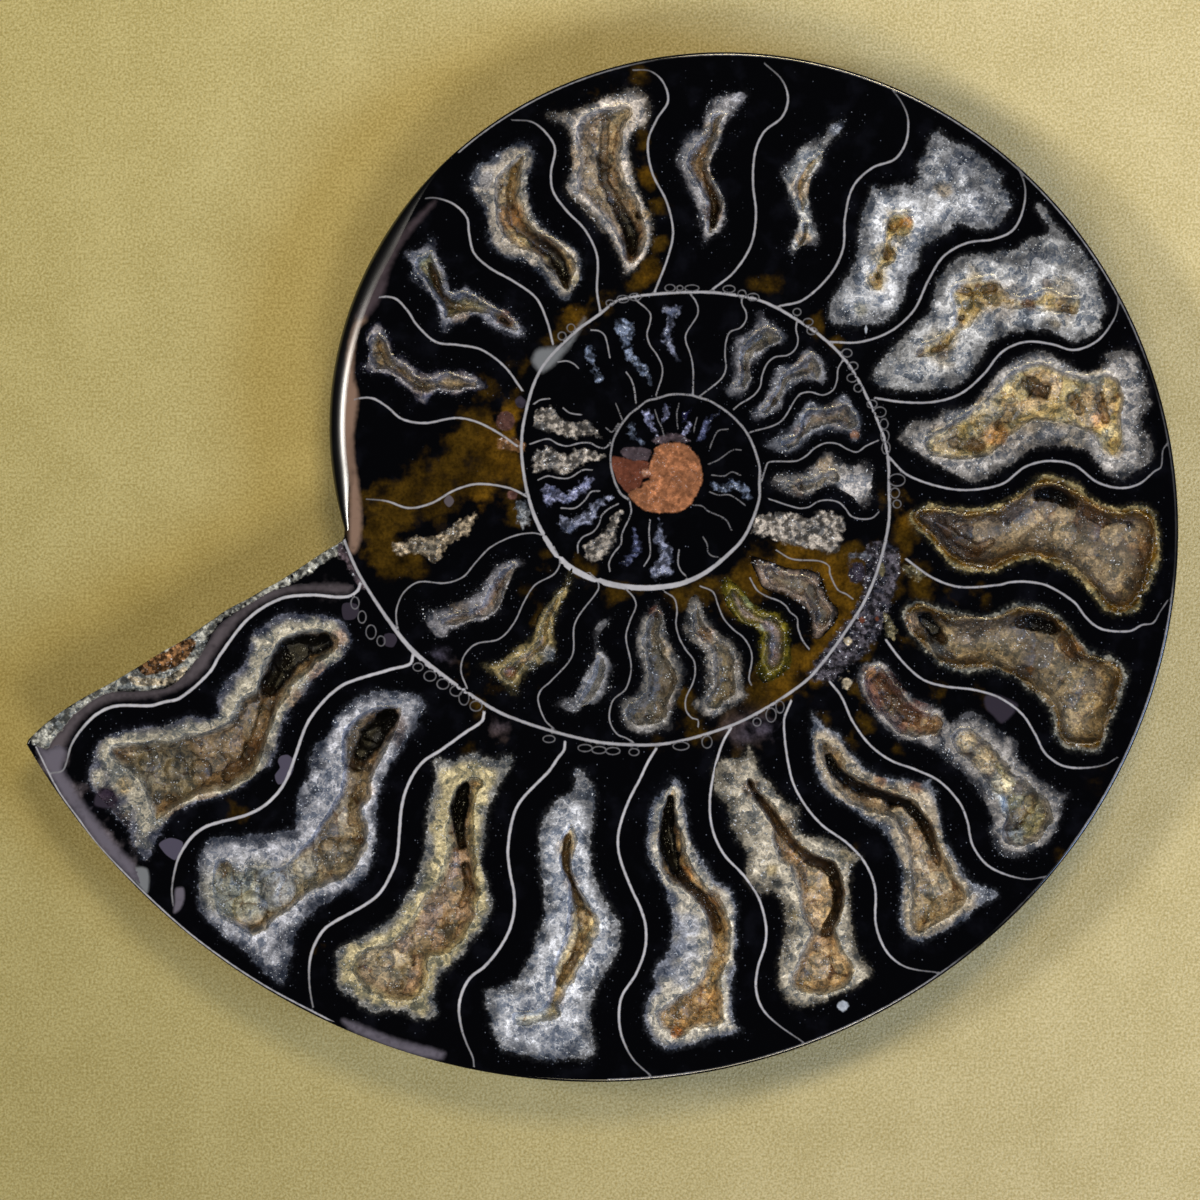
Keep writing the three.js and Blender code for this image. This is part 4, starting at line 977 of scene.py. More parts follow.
def piece(name, spots, triangles, values, paints, which=None, crease=35):
    """Mesh piece of the fossil, with its painted values."""
    mesh = bpy.data.meshes.new(name)
    mesh.from_pydata((np.asarray(spots) * TENTH).tolist(), [], np.asarray(triangles).tolist())
    for paint in paints:
        mesh.materials.append(paint)
    if which is not None:
        mesh.polygons.foreach_set("material_index", np.asarray(which, np.int32))
    for key, value in values.items():
        value = np.asarray(value, np.float32)
        if value.ndim == 1:
            mesh.attributes.new(key, "FLOAT", "POINT").data.foreach_set("value", value)
        else:
            full = np.column_stack((value, np.ones(len(value)))) if value.shape[1] == 3 else value
            colours = mesh.attributes.new(key, "FLOAT_COLOR", "POINT").data
            colours.foreach_set("color", full.astype(np.float32).ravel())
    mesh.shade_smooth()
    mesh.set_sharp_from_angle(angle=math.radians(crease))
    made = shown(name, mesh)
    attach(made, "root")
    return made


# The coil and the back

def coil_radius(bearing):
    """Outer radius of the coil at a bearing that grows with each turn."""
    return COIL_RADIUS * np.exp(COIL_GROWTH * np.radians(bearing - COIL_START))


def flank(share):
    """Share of the half width that a turn has at a share of its outer radius."""
    outer = np.sqrt(np.clip(1 - (np.maximum(share - CREST, 0) / (1 - CREST)) ** 3, 0, 1))
    shoulder = 1 - SHOULDER_DROP * ((CREST - share) / (CREST - SHOULDER)) ** 2
    wall = (1 - SHOULDER_DROP) * np.sin(math.pi / 2 * (share - SEAM) / (SHOULDER - SEAM))
    levels = [share >= 1, share > CREST, share > SHOULDER, share > SEAM]
    return np.select(levels, [0 * share, outer, shoulder, wall], 0)


def back_depth(radius, newest):
    """Depth of the back: at every spot the deepest of the turns."""
    depth = np.full_like(radius, CORE_DEPTH)
    for turn in range(TURNS_SEEN):
        outer = coil_radius(newest - turn * FULL_TURN)
        depth = np.maximum(depth, HALF_WIDTH * np.tanh(outer / WIDTH_REACH) * flank(radius / outer))
    return np.minimum(depth, REST_DEPTH)


def body_columns():
    """Bearing, bearing of the newest turn, outer radius and share of the broken end for each column."""
    broken = curve(places(BROKEN_END)[::-1], BREAK_STEP)[:-1] - COIL
    jag = 1.1 * ripple(broken, 9, BREAK_SALT) + 0.7 * ripple(broken, 4, FINE_BREAK_SALT) - 1.4
    bearing = np.degrees(np.arctan2(-broken[:, 1], broken[:, 0])) % FULL_TURN
    edge = np.linalg.norm(broken, axis=1) + jag
    tip = TIP_BEARING - FULL_TURN
    kept = (bearing > tip + 0.1) & (bearing < CORNER_BEARING - 0.05)
    count = round((TIP_BEARING - CORNER_BEARING) / COLUMN_STEP)
    regular = CORNER_BEARING + (TIP_BEARING - CORNER_BEARING) * (np.arange(count) + 0.25) / count
    bearings = np.concatenate(([tip], bearing[kept], regular))
    newest = np.concatenate(([TIP_BEARING], bearing[kept] + FULL_TURN, regular))
    edges = np.concatenate(([coil_radius(TIP_BEARING)], edge[kept], coil_radius(regular)))
    raw = np.concatenate(([0.5], np.ones(kept.sum()), np.zeros(count)))
    return bearings, newest, edges, raw


def flank_relief(share, radius, phase):
    """Height that ribs and lumps take off the depth of the flank."""
    rib = 0.5 - 0.5 * np.cos(RIBS * phase + RIB_BEND * np.sin(math.pi * (share - 0.3) / 0.7))
    window = fade(0.34, 0.5, share) * fade(1.0, 0.86, share)
    flat = np.column_stack((radius.ravel(), (phase + 0 * radius).ravel() * 300))
    rough = (ripple(flat, 18, FLANK_SALT) + 1).reshape(radius.shape)
    return window * (RIB_HEIGHT * rib + LUMP_HEIGHT * rough)


def suture_waves(share, phase):
    """Waves that are 1 along the suture lines of the flank."""
    lobes = 0.9 * np.sin(9 * share) + 0.35 * np.sin(26 * share + 1) + 0.16 * np.sin(61 * share)
    return np.cos(SUTURES * phase + lobes * 1.5)


def broken_relief(bearings, depth):
    """How far the wall of the broken end stands back between its crystals."""
    pit = np.column_stack((np.repeat(bearings * 12, depth.shape[1]), depth.ravel()))
    large, _, _ = crystals(pit, BROKEN_LARGE[0], BROKEN_ROUNDED, BROKEN_SALT)
    small, _, _ = crystals(pit, BROKEN_SMALL[0], BROKEN_ROUNDED, FINE_BROKEN_SALT)
    return ((1 - large) * BROKEN_LARGE[1] + (1 - small) * BROKEN_SMALL[1]).reshape(depth.shape)


def body_net():
    """Spots of the body, column by column, from the centre of the back to the edge of the cut, with their
    suture waves, their share of the broken end and the number of rows on the rounded edge."""
    bearings, newest, edges, raw = body_columns()
    rings = np.concatenate((
        np.linspace(0.03, SEAM, 8), np.linspace(SEAM + 0.012, SHOULDER, 9),
        np.linspace(SHOULDER + 0.04, 0.88, 16), 1 - 0.1 * np.linspace(1, 0, 9) ** 2,
    ))
    outer = coil_radius(newest)[:, None]
    edges, raw = edges[:, None], raw[:, None]
    shoulder = outer * SHOULDER
    spread = shoulder + (edges - shoulder) * (rings - SHOULDER) / (1 - SHOULDER)
    radius = np.where(rings <= SHOULDER, outer * rings, spread)
    share = radius / outer
    phase = np.radians(newest)[:, None]
    depth = np.maximum(back_depth(radius, newest[:, None]), RIM_DEPTH) - flank_relief(share, radius, phase)

    bevel = fade(BEVEL_SPAN[0], BEVEL_SPAN[1], bearings) * (1 - fade(BEVEL_SPAN[2], BEVEL_SPAN[3], bearings))
    width = (EDGE_WIDTH + (BEVEL_WIDTH - EDGE_WIDTH) * bevel)[:, None]
    low = (EDGE_DEPTH + (BEVEL_DEPTH - EDGE_DEPTH) * bevel)[:, None]
    climb = np.linspace(0, 1, 14)[1:]
    start = depth[:, -1:]
    wall_depth = start + (low - start) * climb
    carve = broken_relief(bearings, wall_depth) * raw * fade(1, 0.85, climb) * fade(0, 0.15, climb)
    wall_radius = edges - carve
    turn = np.radians(np.linspace(0, 90, 8)[1:])
    edge_radius = edges - width * (1 - np.cos(turn))
    edge_depth = low * (1 - np.sin(turn))

    radii = np.hstack((radius, wall_radius, edge_radius))
    depths = np.hstack((depth, wall_depth, edge_depth))
    angle = np.radians(bearings)[:, None]
    spots = np.dstack((COIL[0] + radii * np.cos(angle), COIL[1] - radii * np.sin(angle), CUT - depths))
    suture = suture_waves(share, phase)
    suture = np.hstack((suture, np.repeat(suture[:, -1:], radii.shape[1] - suture.shape[1], axis=1)))
    broken = np.hstack((0 * radius, raw + 0 * wall_radius, 0.4 * raw + 0 * edge_radius))
    return spots, suture, broken, len(turn)


# Lines of the cut

def strand(text, half, tone, thin=0.0, closed=False):
    """Path, half widths and tones of a line, thinner and darker towards its outer end."""
    path = curve(places(text) if isinstance(text, str) else text, LINE_STEP, closed)
    outer = fade(0.8, 0.97, np.linspace(0, 1, len(path))) * thin
    return path, half * (1 - 0.5 * outer), tone * (1 - 0.55 * outer)


def loop_strands():
    """Small loops of the wall."""
    ring = np.radians(np.arange(0, 360, 30))
    made = []
    for across, down, half_width, half_height in numbers(LOOPS):
        round_it = np.column_stack((half_width * np.cos(ring), half_height * np.sin(ring)))
        made.append(strand(place(across, down) + round_it, *LOOP_LINE, closed=True))
    return made


def wall_strand():
    """Wall between the turns, wider at its swellings and slimmer towards the centre."""
    path, half, tone = strand(WALL, *WALL_LINE)
    for across, down, reach, more in SWELLINGS:
        near = np.exp(-(np.linalg.norm(path - place(across, down), axis=1) / reach) ** 2)
        half = half + more * near
        tone = tone + 0.12 * near
    slim = fade(110, 60, np.linalg.norm(path - COIL, axis=1))
    return path, half * (1 - 0.4 * slim), tone * (1 - 0.35 * slim)


def rim_shell_and_highlight_strand():
    """Thin pale line along the outer edge, seen here and there: partly shell, partly a painted highlight on
    the polished edge.
    """
    bearings = np.arange(BEVEL_SPAN[3], TIP_BEARING - 60, 2)
    angle = np.radians(bearings)
    radius = coil_radius(bearings) - 2.6
    knots = COIL + np.column_stack((radius * np.cos(angle), -radius * np.sin(angle)))
    path, half, tone = strand(knots, *OUTER_SHELL_AND_HIGHLIGHT_LINE)
    return path, half, tone * fade(-0.75, 0.45, ripple(path, 60, RIM_SALT))


def strands():
    """All lines of the cut except the small loops."""
    made = [wall_strand(), strand(EDGE_SHELL_AND_HIGHLIGHT, *EDGE_SHELL_AND_HIGHLIGHT_LINE), rim_shell_and_highlight_strand()]
    half, tone = SEPTUM_LINE
    for index, text in enumerate(SEPTA):
        made.append(strand(text, half - 0.4 * fade(1, 7, index), tone - 0.25 * fade(4, 10, index), thin=1))
    made += [strand(text, *INNER_SEPTUM_LINE) for text in INNER_SEPTA]
    made += [strand(text, *CORE_SEPTUM_LINE) for text in CORE_SEPTA]
    return made


def arc_lengths(loop):
    """Distance along a loop of each of its spots."""
    return np.concatenate(([0], np.cumsum(np.linalg.norm(np.diff(loop, axis=0), axis=1))))


def rails(path, half, gap):
    """Spots on a line, on its two sides and at a gap beyond them."""
    side = sideways(path)
    offsets = [0 * half, half, -half, half + gap, -half - gap]
    return np.vstack([path + side * offset[:, None] for offset in offsets])


# Marks and washes

def mark_values(spots):
    """Signed distance into the nearest mark, its tint and its grain at each spot."""
    depth = np.full(len(spots), -float(MARK_REACH))
    tint = np.zeros((len(spots), 3))
    grain = np.zeros(len(spots))
    for name, share, text in MARKS:
        loop = curve(places(text), LINE_STEP, closed=True)
        near = near_loop(spots, loop, MARK_REACH)
        if not len(near):
            continue
        _, gap = Nearest(loop).find(spots[near])
        signed = np.where(within(spots[near], loop), gap, -gap)
        wins = (signed > 0) | (signed > depth[near])
        depth[near[wins]] = signed[wins]
        tint[near[wins]] = linear(name)
        grain[near[wins]] = share
    return np.clip(depth, -MARK_REACH, MARK_REACH), tint, grain


def wash_values(spots):
    """Colour and strength of the soft washes at each spot."""
    total = np.zeros(len(spots))
    mixed = np.zeros((len(spots), 3))
    for tint, text in WASHES:
        clear = np.ones(len(spots))
        for across, down, reach, strength in numbers(text):
            away = np.linalg.norm(spots - place(across, down), axis=1)
            clear *= 1 - min(strength, 0.98) * np.exp(-(away / reach) ** 2)
        total += 1 - clear
        mixed += (1 - clear)[:, None] * linear(tint)
    colour = mixed / np.maximum(total, 1e-6)[:, None]
    return np.column_stack((colour, np.clip(total, 0, 1)))


# The cut face with its pockets, and the body in one piece

def hollow_rims():
    """Outline of each hollow."""
    return [anticlockwise(curve(places(hollow["outline"]), RIM_STEP, closed=True)) for hollow in HOLLOWS]


def cut_spots(edge, rims, lines, loops):
    """Spots for the triangles of the cut: on its lines and marks, and spread over the rest."""
    wanted = [rails(path[::RAIL_EVERY], half[::RAIL_EVERY], RAIL_GAP) for path, half, _ in lines]
    wanted += [rails(path[::2], half[::2], RAIL_GAP / 2) for path, half, _ in loops]
    for _, _, text in MARKS:
        loop = curve(places(text), 2, closed=True)
        wanted += [loop, loop + sideways(loop) * 1.2, loop - sideways(loop) * 1.2]
    middle = np.array(COIL)
    wide = grid(edge.min(axis=0), edge.max(axis=0), OPEN_STEP, OPEN_SALT)
    close = grid(middle - CLOSE_REACH, middle + CLOSE_REACH, CLOSE_STEP, CLOSE_SALT)
    wanted.append(wide[np.linalg.norm(wide - middle, axis=1) > CLOSE_REACH - 2])
    wanted.append(close[np.linalg.norm(close - middle, axis=1) < CLOSE_REACH - 2])
    spots = np.vstack(wanted)
    spots = spots[within(spots, edge)]
    for rim in rims:
        near = near_loop(spots, rim)
        outside = np.ones(len(spots), bool)
        outside[near] = ~within(spots[near], rim)
        spots = spots[outside]
    _, gap = Nearest(np.vstack([edge] + rims)).find(spots)
    spots = spots[gap > SPOT_GAP]
    _, first = np.unique(np.round(spots / 0.8), axis=0, return_index=True)
    return spots[np.sort(first)]


def line_values(spots, lines):
    """Signed distance from each spot to the nearest line, below 0 on it, and the tone of that line."""
    path = np.vstack([path for path, _, _ in lines])
    half = np.concatenate([half for _, half, _ in lines])
    tone = np.concatenate([tone for _, _, tone in lines])
    along = unit(np.vstack([np.gradient(path, axis=0) for path, _, _ in lines]))
    number, _ = Nearest(path).find(spots)
    away = spots - path[number]
    forward = np.abs(np.sum(away * along[number], axis=1))
    across = np.abs(away[:, 0] * along[number][:, 1] - away[:, 1] * along[number][:, 0])
    return np.hypot(np.maximum(forward - LINE_STEP, 0), across) - half[number], tone[number]


def cut_values(spots, rims, lines):
    """Painted values of the cut at each spot."""
    line, tone = line_values(spots, lines)
    fine = [curve(rim, LINE_STEP, closed=True) for rim in rims]
    owners = np.concatenate([np.full(len(rim), index) for index, rim in enumerate(fine)])
    arcs = np.concatenate([arc_lengths(rim) for rim in fine])
    nearest, gap = Nearest(np.vstack(fine)).find(spots)
    gap[gap < 0.02] = 0
    tints = np.array([0.55 * linear(hollow["tints"].split()[0]) * hollow["outer"] for hollow in HOLLOWS])
    depth, tint, grain = mark_values(spots)
    return {
        "line": np.clip(line, -4, 9), "tone": tone, "fringe": -np.clip(gap, 0, FRINGE_REACH),
        "along": arcs[nearest], "rim_tint": tints[owners[nearest]], "mark": depth, "mark_tint": tint,
        "grain": grain, "wash": wash_values(spots),
    }


def pocket(flat, floor, top, depth, total):
    """Spots and triangles of the floor and the side of a pocket. Its spots are numbered from total."""
    used, where = np.unique(floor, return_inverse=True)
    spots = np.column_stack((flat[used], np.full(len(used), CUT - depth)))
    below = np.searchsorted(used, top) + total
    side = np.column_stack((top, np.roll(top, -1), np.roll(below, -1)))
    other = np.column_stack((top, np.roll(below, -1), below))
    return spots, np.vstack((where.reshape(floor.shape) + total, side, other))


def cut_mesh(edge, rims, inside):
    """Spots and triangles of the cut with its pockets, and the numbers of the spots on its edge."""
    starts = np.cumsum([0, len(edge)] + [len(rim) for rim in rims])
    rings = [np.arange(start, end) for start, end in zip(starts, starts[1:])]
    flat, faces, number = triangles_over(np.vstack([edge] + rims + [inside]), rings)
    centres = flat[faces].mean(axis=1)
    holder = np.full(len(faces), -1)
    for index, rim in enumerate(rims):
        near = near_loop(centres, rim)
        holder[near[within(centres[near], rim)]] = index
    spots = [np.column_stack((flat, np.full(len(flat), CUT)))]
    triangles = [faces[within(centres, edge) & (holder < 0)]]
    total = len(flat)
    for index, hollow in enumerate(HOLLOWS):
        top = number[rings[index + 1]]
        lower, sides = pocket(flat, faces[holder == index], top, hollow["depth"], total)
        spots.append(lower)
        triangles.append(sides)
        total += len(lower)
    return np.vstack(spots), np.vstack(triangles), number[rings[0]]


def net_mesh(net, on_edge, total, edge_rows):
    """Spots and triangles of the net under the edge of the cut, and the paint of each triangle: 0 on the
    rounded edge and 1 on the back. Its spots are numbered from total."""
    columns, rows = net.shape[0], net.shape[1] - 1
    numbered = total + np.arange(columns * rows).reshape(columns, rows)
    here = np.column_stack((numbered, on_edge))
    following = np.roll(here, -1, axis=0)
    hub = total + columns * rows
    triangles = []
    for row in range(rows):
        a, b, c, d = here[:, row], here[:, row + 1], following[:, row + 1], following[:, row]
        triangles += [np.column_stack((a, b, c)), np.column_stack((a, c, d))]
    triangles.append(np.column_stack((np.full(columns, hub), here[:, 0], following[:, 0])))
    which = np.ones(columns * (2 * rows + 1))
    which[2 * columns * (rows - edge_rows) : 2 * columns * rows] = 0
    spots = np.vstack((net[:, :-1].reshape(-1, 3), [[COIL[0], COIL[1], CUT - CORE_DEPTH]]))
    return spots, np.vstack(triangles), which


def fossil_piece(rims):
    """The body with its polished cut, pockets, rounded edge and back."""
    net, suture, broken, edge_rows = body_net()
    edge = net[:, -1, :2]
    lines, loops = strands(), loop_strands()
    cut, cut_triangles, on_edge = cut_mesh(edge, rims, cut_spots(edge, rims, lines, loops))
    back, back_triangles, which = net_mesh(net, on_edge, len(cut), edge_rows)
    spots = np.vstack((cut, back))
    triangles = np.vstack((cut_triangles, back_triangles))
    values = cut_values(spots[:, :2], rims, lines + loops)
    values["fringe"][len(cut) :] = -FRINGE_REACH
    for key, value in (("suture", suture), ("broken", broken)):
        values[key] = np.concatenate((np.zeros(len(cut)), value[:, :-1].ravel(), [0]))
    which = np.concatenate((np.zeros(len(cut_triangles)), which))
    made = piece("fossil_body", spots, triangles, values, [cut_paint(), back_paint()], which)
    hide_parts("fossil")


# Crystal linings

def sink(spots, text, jag, salt):
    """Further depth of the wells of a hollow: chains of round steps, with / between the chains."""
    depth = np.zeros(len(spots))
    waver = 0.14 * ripple(spots, 8, salt) + jag
    for chain in text.split("/"):
        steps = numbers(chain)
        for start, end in zip(steps, steps[1:] or steps):
            foot, along = place(*start[:2]), place(*end[:2]) - place(*start[:2])
            share = np.clip((spots - foot) @ along / max(along @ along, 1e-9), 0, 1)
            away = np.linalg.norm(spots - foot - share[:, None] * along, axis=1)
            radius = start[2] + (end[2] - start[2]) * share
            more = 0.8 * (start[3] + (end[3] - start[3]) * share)
            depth = np.maximum(depth, more * fade(0.98, 0.62, away / radius + waver))
    return depth


def bowl_heights(spots, hollow, opening, number):
    """Heights under the cut inside a hollow, how far each spot is open, and its crystals."""
    salt = HOLLOW_SALT + SALTS_OF_ONE * number
    size, tall = hollow["lumps"]
    fine_size, fine_tall = hollow["grain"]
    shift = np.column_stack([ripple(spots, size * 1.3, salt + more) for more in (15, 16)])
    large = crystals(spots + 0.3 * size * shift, size * 1.6, 0.5 + 0.5 * hollow["round"], salt)
    small = crystals(spots, fine_size * 1.1, hollow["round"] * 0.6, salt + 8)
    opening = opening + 1.8 * ripple(spots, 13, salt + 17) + 1.6 * (small[0] - 0.5) + 3 * (large[0] - 0.5)
    steep = max(2.2, hollow["deep"] * 0.28)
    height = -hollow["deep"] * (1 - np.exp(-np.maximum(opening, 0) / steep)) + np.maximum(-opening, 0) * 1.4
    height += 1.25 * tall * (large[0] - 0.5) * fade(0, 6, opening)
    height += 0.6 * fine_tall * (small[0] - 0.5) * fade(-2, 3, opening)
    for across, down, radius, more in numbers(hollow.get("knobs", "")):
        away = np.sum((spots - place(across, down)) ** 2, axis=1) / radius**2
        height = np.maximum(height, height + more * np.sqrt(np.clip(1 - away, 0, 1)))
    jag = 0.5 * (large[0] - 0.6) + 0.25 * (small[0] - 0.5)
    well = sink(spots, hollow.get("wells", ""), jag, salt + 18) * fade(-1, 3, opening)
    height = np.maximum(height - well, 10 - hollow["depth"] - 2 * large[0])
    return np.minimum(height, -0.12), opening, large, small, well


def blend_share(hollow, opening):
    """Share of red, green and blue that the spots of colour of a hollow keep."""
    return blend(np.array([hollow["outer"]]), np.array([hollow["inner"]]), fade(-2, 2, opening))


def bowl_tints(spots, hollow, opening, rim_gap, large, small, well):
    """Colour of a lining at each spot, with a painted highlight along its mouths and painted shade in its
    creases, low parts and wells.
    """
    edge, band, wall, floor = (linear(tint) for tint in hollow["tints"].split())
    edge, band = edge * hollow["outer"], band * hollow["outer"]
    wall, floor = wall * hollow["inner"], floor * hollow["inner"]
    outward = rim_gap / np.maximum(rim_gap + np.maximum(-opening, 0), 0.1)
    base = blend(edge * 0.42, band * 1.35, fade(0.1, 0.62, outward + 0.3 * ripple(spots, 9, EDGE_SALT)))
    # Painted highlight: a pale line along the edge of each mouth, where the band meets the bowl
    bright = fade(4, 0.5, -opening) * (opening < 2) * fade(-0.4, 0.4, ripple(spots, 7, MOUTH_HIGHLIGHT_SALT))
    base = blend(base, band * 1.5, 0.9 * bright)
    lump = blend(wall, floor, fade(0.3, 0.7, large[1]) * fade(3, 10, opening))
    base = blend(base, lump, fade(0.5, 7, opening))
    share = blend_share(hollow, opening)
    for word in hollow.get("spots", "").split():
        across, down, radius, tint, strength = word.split(",")
        radius = float(radius)
        away = np.linalg.norm(spots - place(float(across), float(down)), axis=1) / radius
        away = away + 0.22 * ripple(spots, radius * 0.5, SPOT_SALT) + 0.3 * (large[1] - 0.5)
        base = blend(base, linear(tint) * share, 0.85 * float(strength) * fade(1.15, 0.55, away))
    inside = fade(0, 5, opening)
    # Painted shade: darker, browner colour in the creases where crystals meet
    crease = inside * np.maximum(fade(0.06, 0.0, large[2]), 0.35 * fade(0.08, 0.0, small[2]))
    base = blend(base, base * (0.36, 0.22, 0.12), 0.95 * crease)
    # Painted shade: the wells turn dark brown as they deepen
    base = blend(base, linear("brown") * 0.45, 0.9 * fade(2, 11, well))
    # Random tone of the large and small crystals
    shade = 1.08 + inside * (0.5 * (large[1] - 0.45) + 0.25 * (small[1] - 0.5))
    # Painted shade: darker low between the tops of the large crystals, and near black down the wells
    shade -= 0.3 * inside * fade(0.45, 0.05, large[0])
    shade *= 1 - 0.975 * fade(5, 18, well)
    return np.clip(base * shade[:, None], 0, 1)


def opening_at(spots, mouths, mouth_tree):
    """Distance of each spot into a mouth of the hollow, below 0 outside them."""
    inside = np.zeros(len(spots), bool)
    for mouth in mouths:
        inside |= within(spots, mouth)
    _, gap = mouth_tree.find(spots)
    return np.where(inside, gap, -gap)


def lining_spots(rim, rim_tree, mouths, mouth_tree):
    """Spots inside a rim, close together in the bowls and wider apart on the cut."""
    low, high = rim.min(axis=0), rim.max(axis=0)
    fine = grid(low, high, BOWL_STEP, BOWL_SALT)
    coarse = grid(low, high, BAND_STEP, BAND_SALT)
    fine = fine[opening_at(fine, mouths, mouth_tree) > -5]
    coarse = coarse[opening_at(coarse, mouths, mouth_tree) < -4.5]
    spots = np.vstack((fine, coarse))
    spots = spots[within(spots, rim)]
    _, gap = rim_tree.find(spots)
    return spots[gap > SPOT_GAP]


def lining_piece(index, hollow, rim, paint):
    """Crystal crust of one hollow: its upper side, its outer wall and its flat underside."""
    mouths = [curve(places(text), LINE_STEP, closed=True) for text in hollow["mouths"].split("/")]
    mouth_tree = Nearest(np.vstack(mouths))
    fine_rim = curve(rim, LINE_STEP, closed=True)
    rim_tree = Nearest(fine_rim)
    spots = lining_spots(rim, rim_tree, mouths, mouth_tree)
    flat, faces, number = triangles_over(np.vstack((rim, spots)), [np.arange(len(rim))])
    faces = faces[within(flat[faces].mean(axis=1), rim)]
    nearest, rim_gap = rim_tree.find(flat)
    opening = opening_at(flat, mouths, mouth_tree)
    height, opening, large, small, well = bowl_heights(flat, hollow, opening, index)
    top = number[: len(rim)]
    rim_gap[top] = 0
    height[top] = np.maximum(height[top], -0.3)
    tint = bowl_tints(flat, hollow, opening, rim_gap, large, small, well)
    along = arc_lengths(fine_rim)[nearest]
    upper = np.column_stack((flat, CUT + height))
    under = np.column_stack((flat[top], np.full(len(top), CUT - hollow["depth"] + UNDER_GAP)))
    ring = len(flat) + np.arange(len(rim))
    triangles = np.vstack((
        faces,
        np.column_stack((top, ring, np.roll(ring, -1))),
        np.column_stack((top, np.roll(ring, -1), np.roll(top, -1))),
        fan(flat[top])[:, ::-1] + len(flat),
    ))
    none = np.zeros(len(rim))
    values = {
        "tint": np.vstack((tint, tint[top])),
        "fringe": np.concatenate((np.clip(rim_gap, 0, FRINGE_REACH), none)),
        "along": np.concatenate((along, along[top])),
        "inside": np.concatenate((fade(-3, 0, opening), none)),
    }
    spots = np.vstack((upper, under))
    made = piece(f"lining_{index + 1:02d}", spots, triangles, values, [paint], crease=42)
    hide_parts(f"crystals_{index + 1:02d}")


def fan(loop):
    """Triangles that fill a loop, as numbers of its spots."""
    out, faces, number = triangles_over(loop, [np.arange(len(loop))])
    back = np.zeros(len(out), int)
    back[number] = np.arange(len(loop))
    return back[faces[within(out[faces].mean(axis=1), loop)]]


# Materials

class Paint:
    """A node material, built node by node."""

    def __init__(self, name):
        self.material = bpy.data.materials.new(name)
        self.material.use_nodes = True
        self.tree = self.material.node_tree
        self.tree.nodes.clear()
        self.spot = self.node("ShaderNodeTexCoord").outputs["Object"]

    def node(self, kind, sockets=None, **settings):
        made = self.tree.nodes.new(kind)
        for key, value in settings.items():
            setattr(made, key, value)
        for key, value in (sockets or {}).items():
            if isinstance(value, bpy.types.NodeSocket):
                self.tree.links.new(value, made.inputs[key])
            else:
                made.inputs[key].default_value = value
        return made

    def value(self, name, output="Fac"):
        """Painted value of the mesh."""
        return self.node("ShaderNodeAttribute", attribute_name=name).outputs[output]

    def colour(self, name):
        return self.value(name, "Color")

    def strength(self, name):
        return self.value(name, "Alpha")

    def worked_out(self, operation, *values):
        return self.node("ShaderNodeMath", dict(enumerate(values)), operation=operation).outputs[0]

    def plus(self, first, second):
        return self.worked_out("ADD", first, second)

    def minus(self, first, second):
        return self.worked_out("SUBTRACT", first, second)

    def times(self, first, second):
        return self.worked_out("MULTIPLY", first, second)

    def scaled(self, value, factor, more):
        """Value times a factor, plus more."""
        return self.worked_out("MULTIPLY_ADD", value, factor, more)

    def power(self, value, exponent):
        return self.worked_out("POWER", value, exponent)

    def larger(self, first, second):
        return self.worked_out("MAXIMUM", first, second)

    def smaller(self, first, second):
        return self.worked_out("MINIMUM", first, second)

    def above(self, first, second):
        """1 where the first value is above the second, or else 0."""
        return self.worked_out("GREATER_THAN", first, second)

    def fade(self, low, high, value):
        """Smooth step from 0 at low to 1 at high."""
        sockets = {"Value": value, "From Min": low, "From Max": high}
        return self.node("ShaderNodeMapRange", sockets, interpolation_type="SMOOTHSTEP").outputs[0]

    def mix(self, share, first, second, blend_type="MIX"):
        """First colour at share 0 and second at share 1."""
        sockets = {0: share}
        for key, value in ((6, first), (7, second)):
            sockets[key] = value if isinstance(value, bpy.types.NodeSocket) else (*value, 1)
        return self.node("ShaderNodeMix", sockets, data_type="RGBA", blend_type=blend_type).outputs[2]

    def dyed(self, first, second):
        """Product of two colours."""
        return self.mix(1.0, first, second, "MULTIPLY")

    def grey(self, value):
        return self.node("ShaderNodeCombineColor", {0: value, 1: value, 2: value}).outputs[0]

    def parts(self, colour):
        """The three parts of a colour."""
        return self.node("ShaderNodeSeparateColor", {0: colour}).outputs

    def ways(self):
        """Place in the object along its three axes, in metres."""
        return self.node("ShaderNodeSeparateXYZ", {0: self.spot}).outputs

    def swirl(self, size, detail):
        """Noise with clouds of a size in tenths of a millimetre."""
        sockets = {"Vector": self.spot, "Scale": 1 / (size * TENTH), "Detail": detail}
        return self.node("ShaderNodeTexNoise", sockets).outputs

    def noise(self, size, detail=3.0):
        return self.swirl(size, detail)["Fac"]

    def cells(self, size, spot, feature="F1"):
        """Cells of a size in tenths of a millimetre."""
        sockets = {"Vector": spot, "Scale": 1 / (size * TENTH)}
        return self.node("ShaderNodeTexVoronoi", sockets, feature=feature).outputs

    def finish(self, colour, roughness, specular, height=None, relief=0.0):
        """Material with its colour, and with the relief in tenths of a millimetre of a height from 0 to 1."""
        values = {"Base Color": colour, "Roughness": roughness, "Specular IOR Level": specular}
        surface = self.node("ShaderNodeBsdfPrincipled", values)
        if height is not None:
            sockets = {"Height": height, "Strength": 1.0, "Distance": relief * TENTH}
            bump = self.node("ShaderNodeBump", sockets)
            self.tree.links.new(bump.outputs[0], surface.inputs["Normal"])
        self.node("ShaderNodeOutputMaterial", {"Surface": surface.outputs[0]})
        return self.material


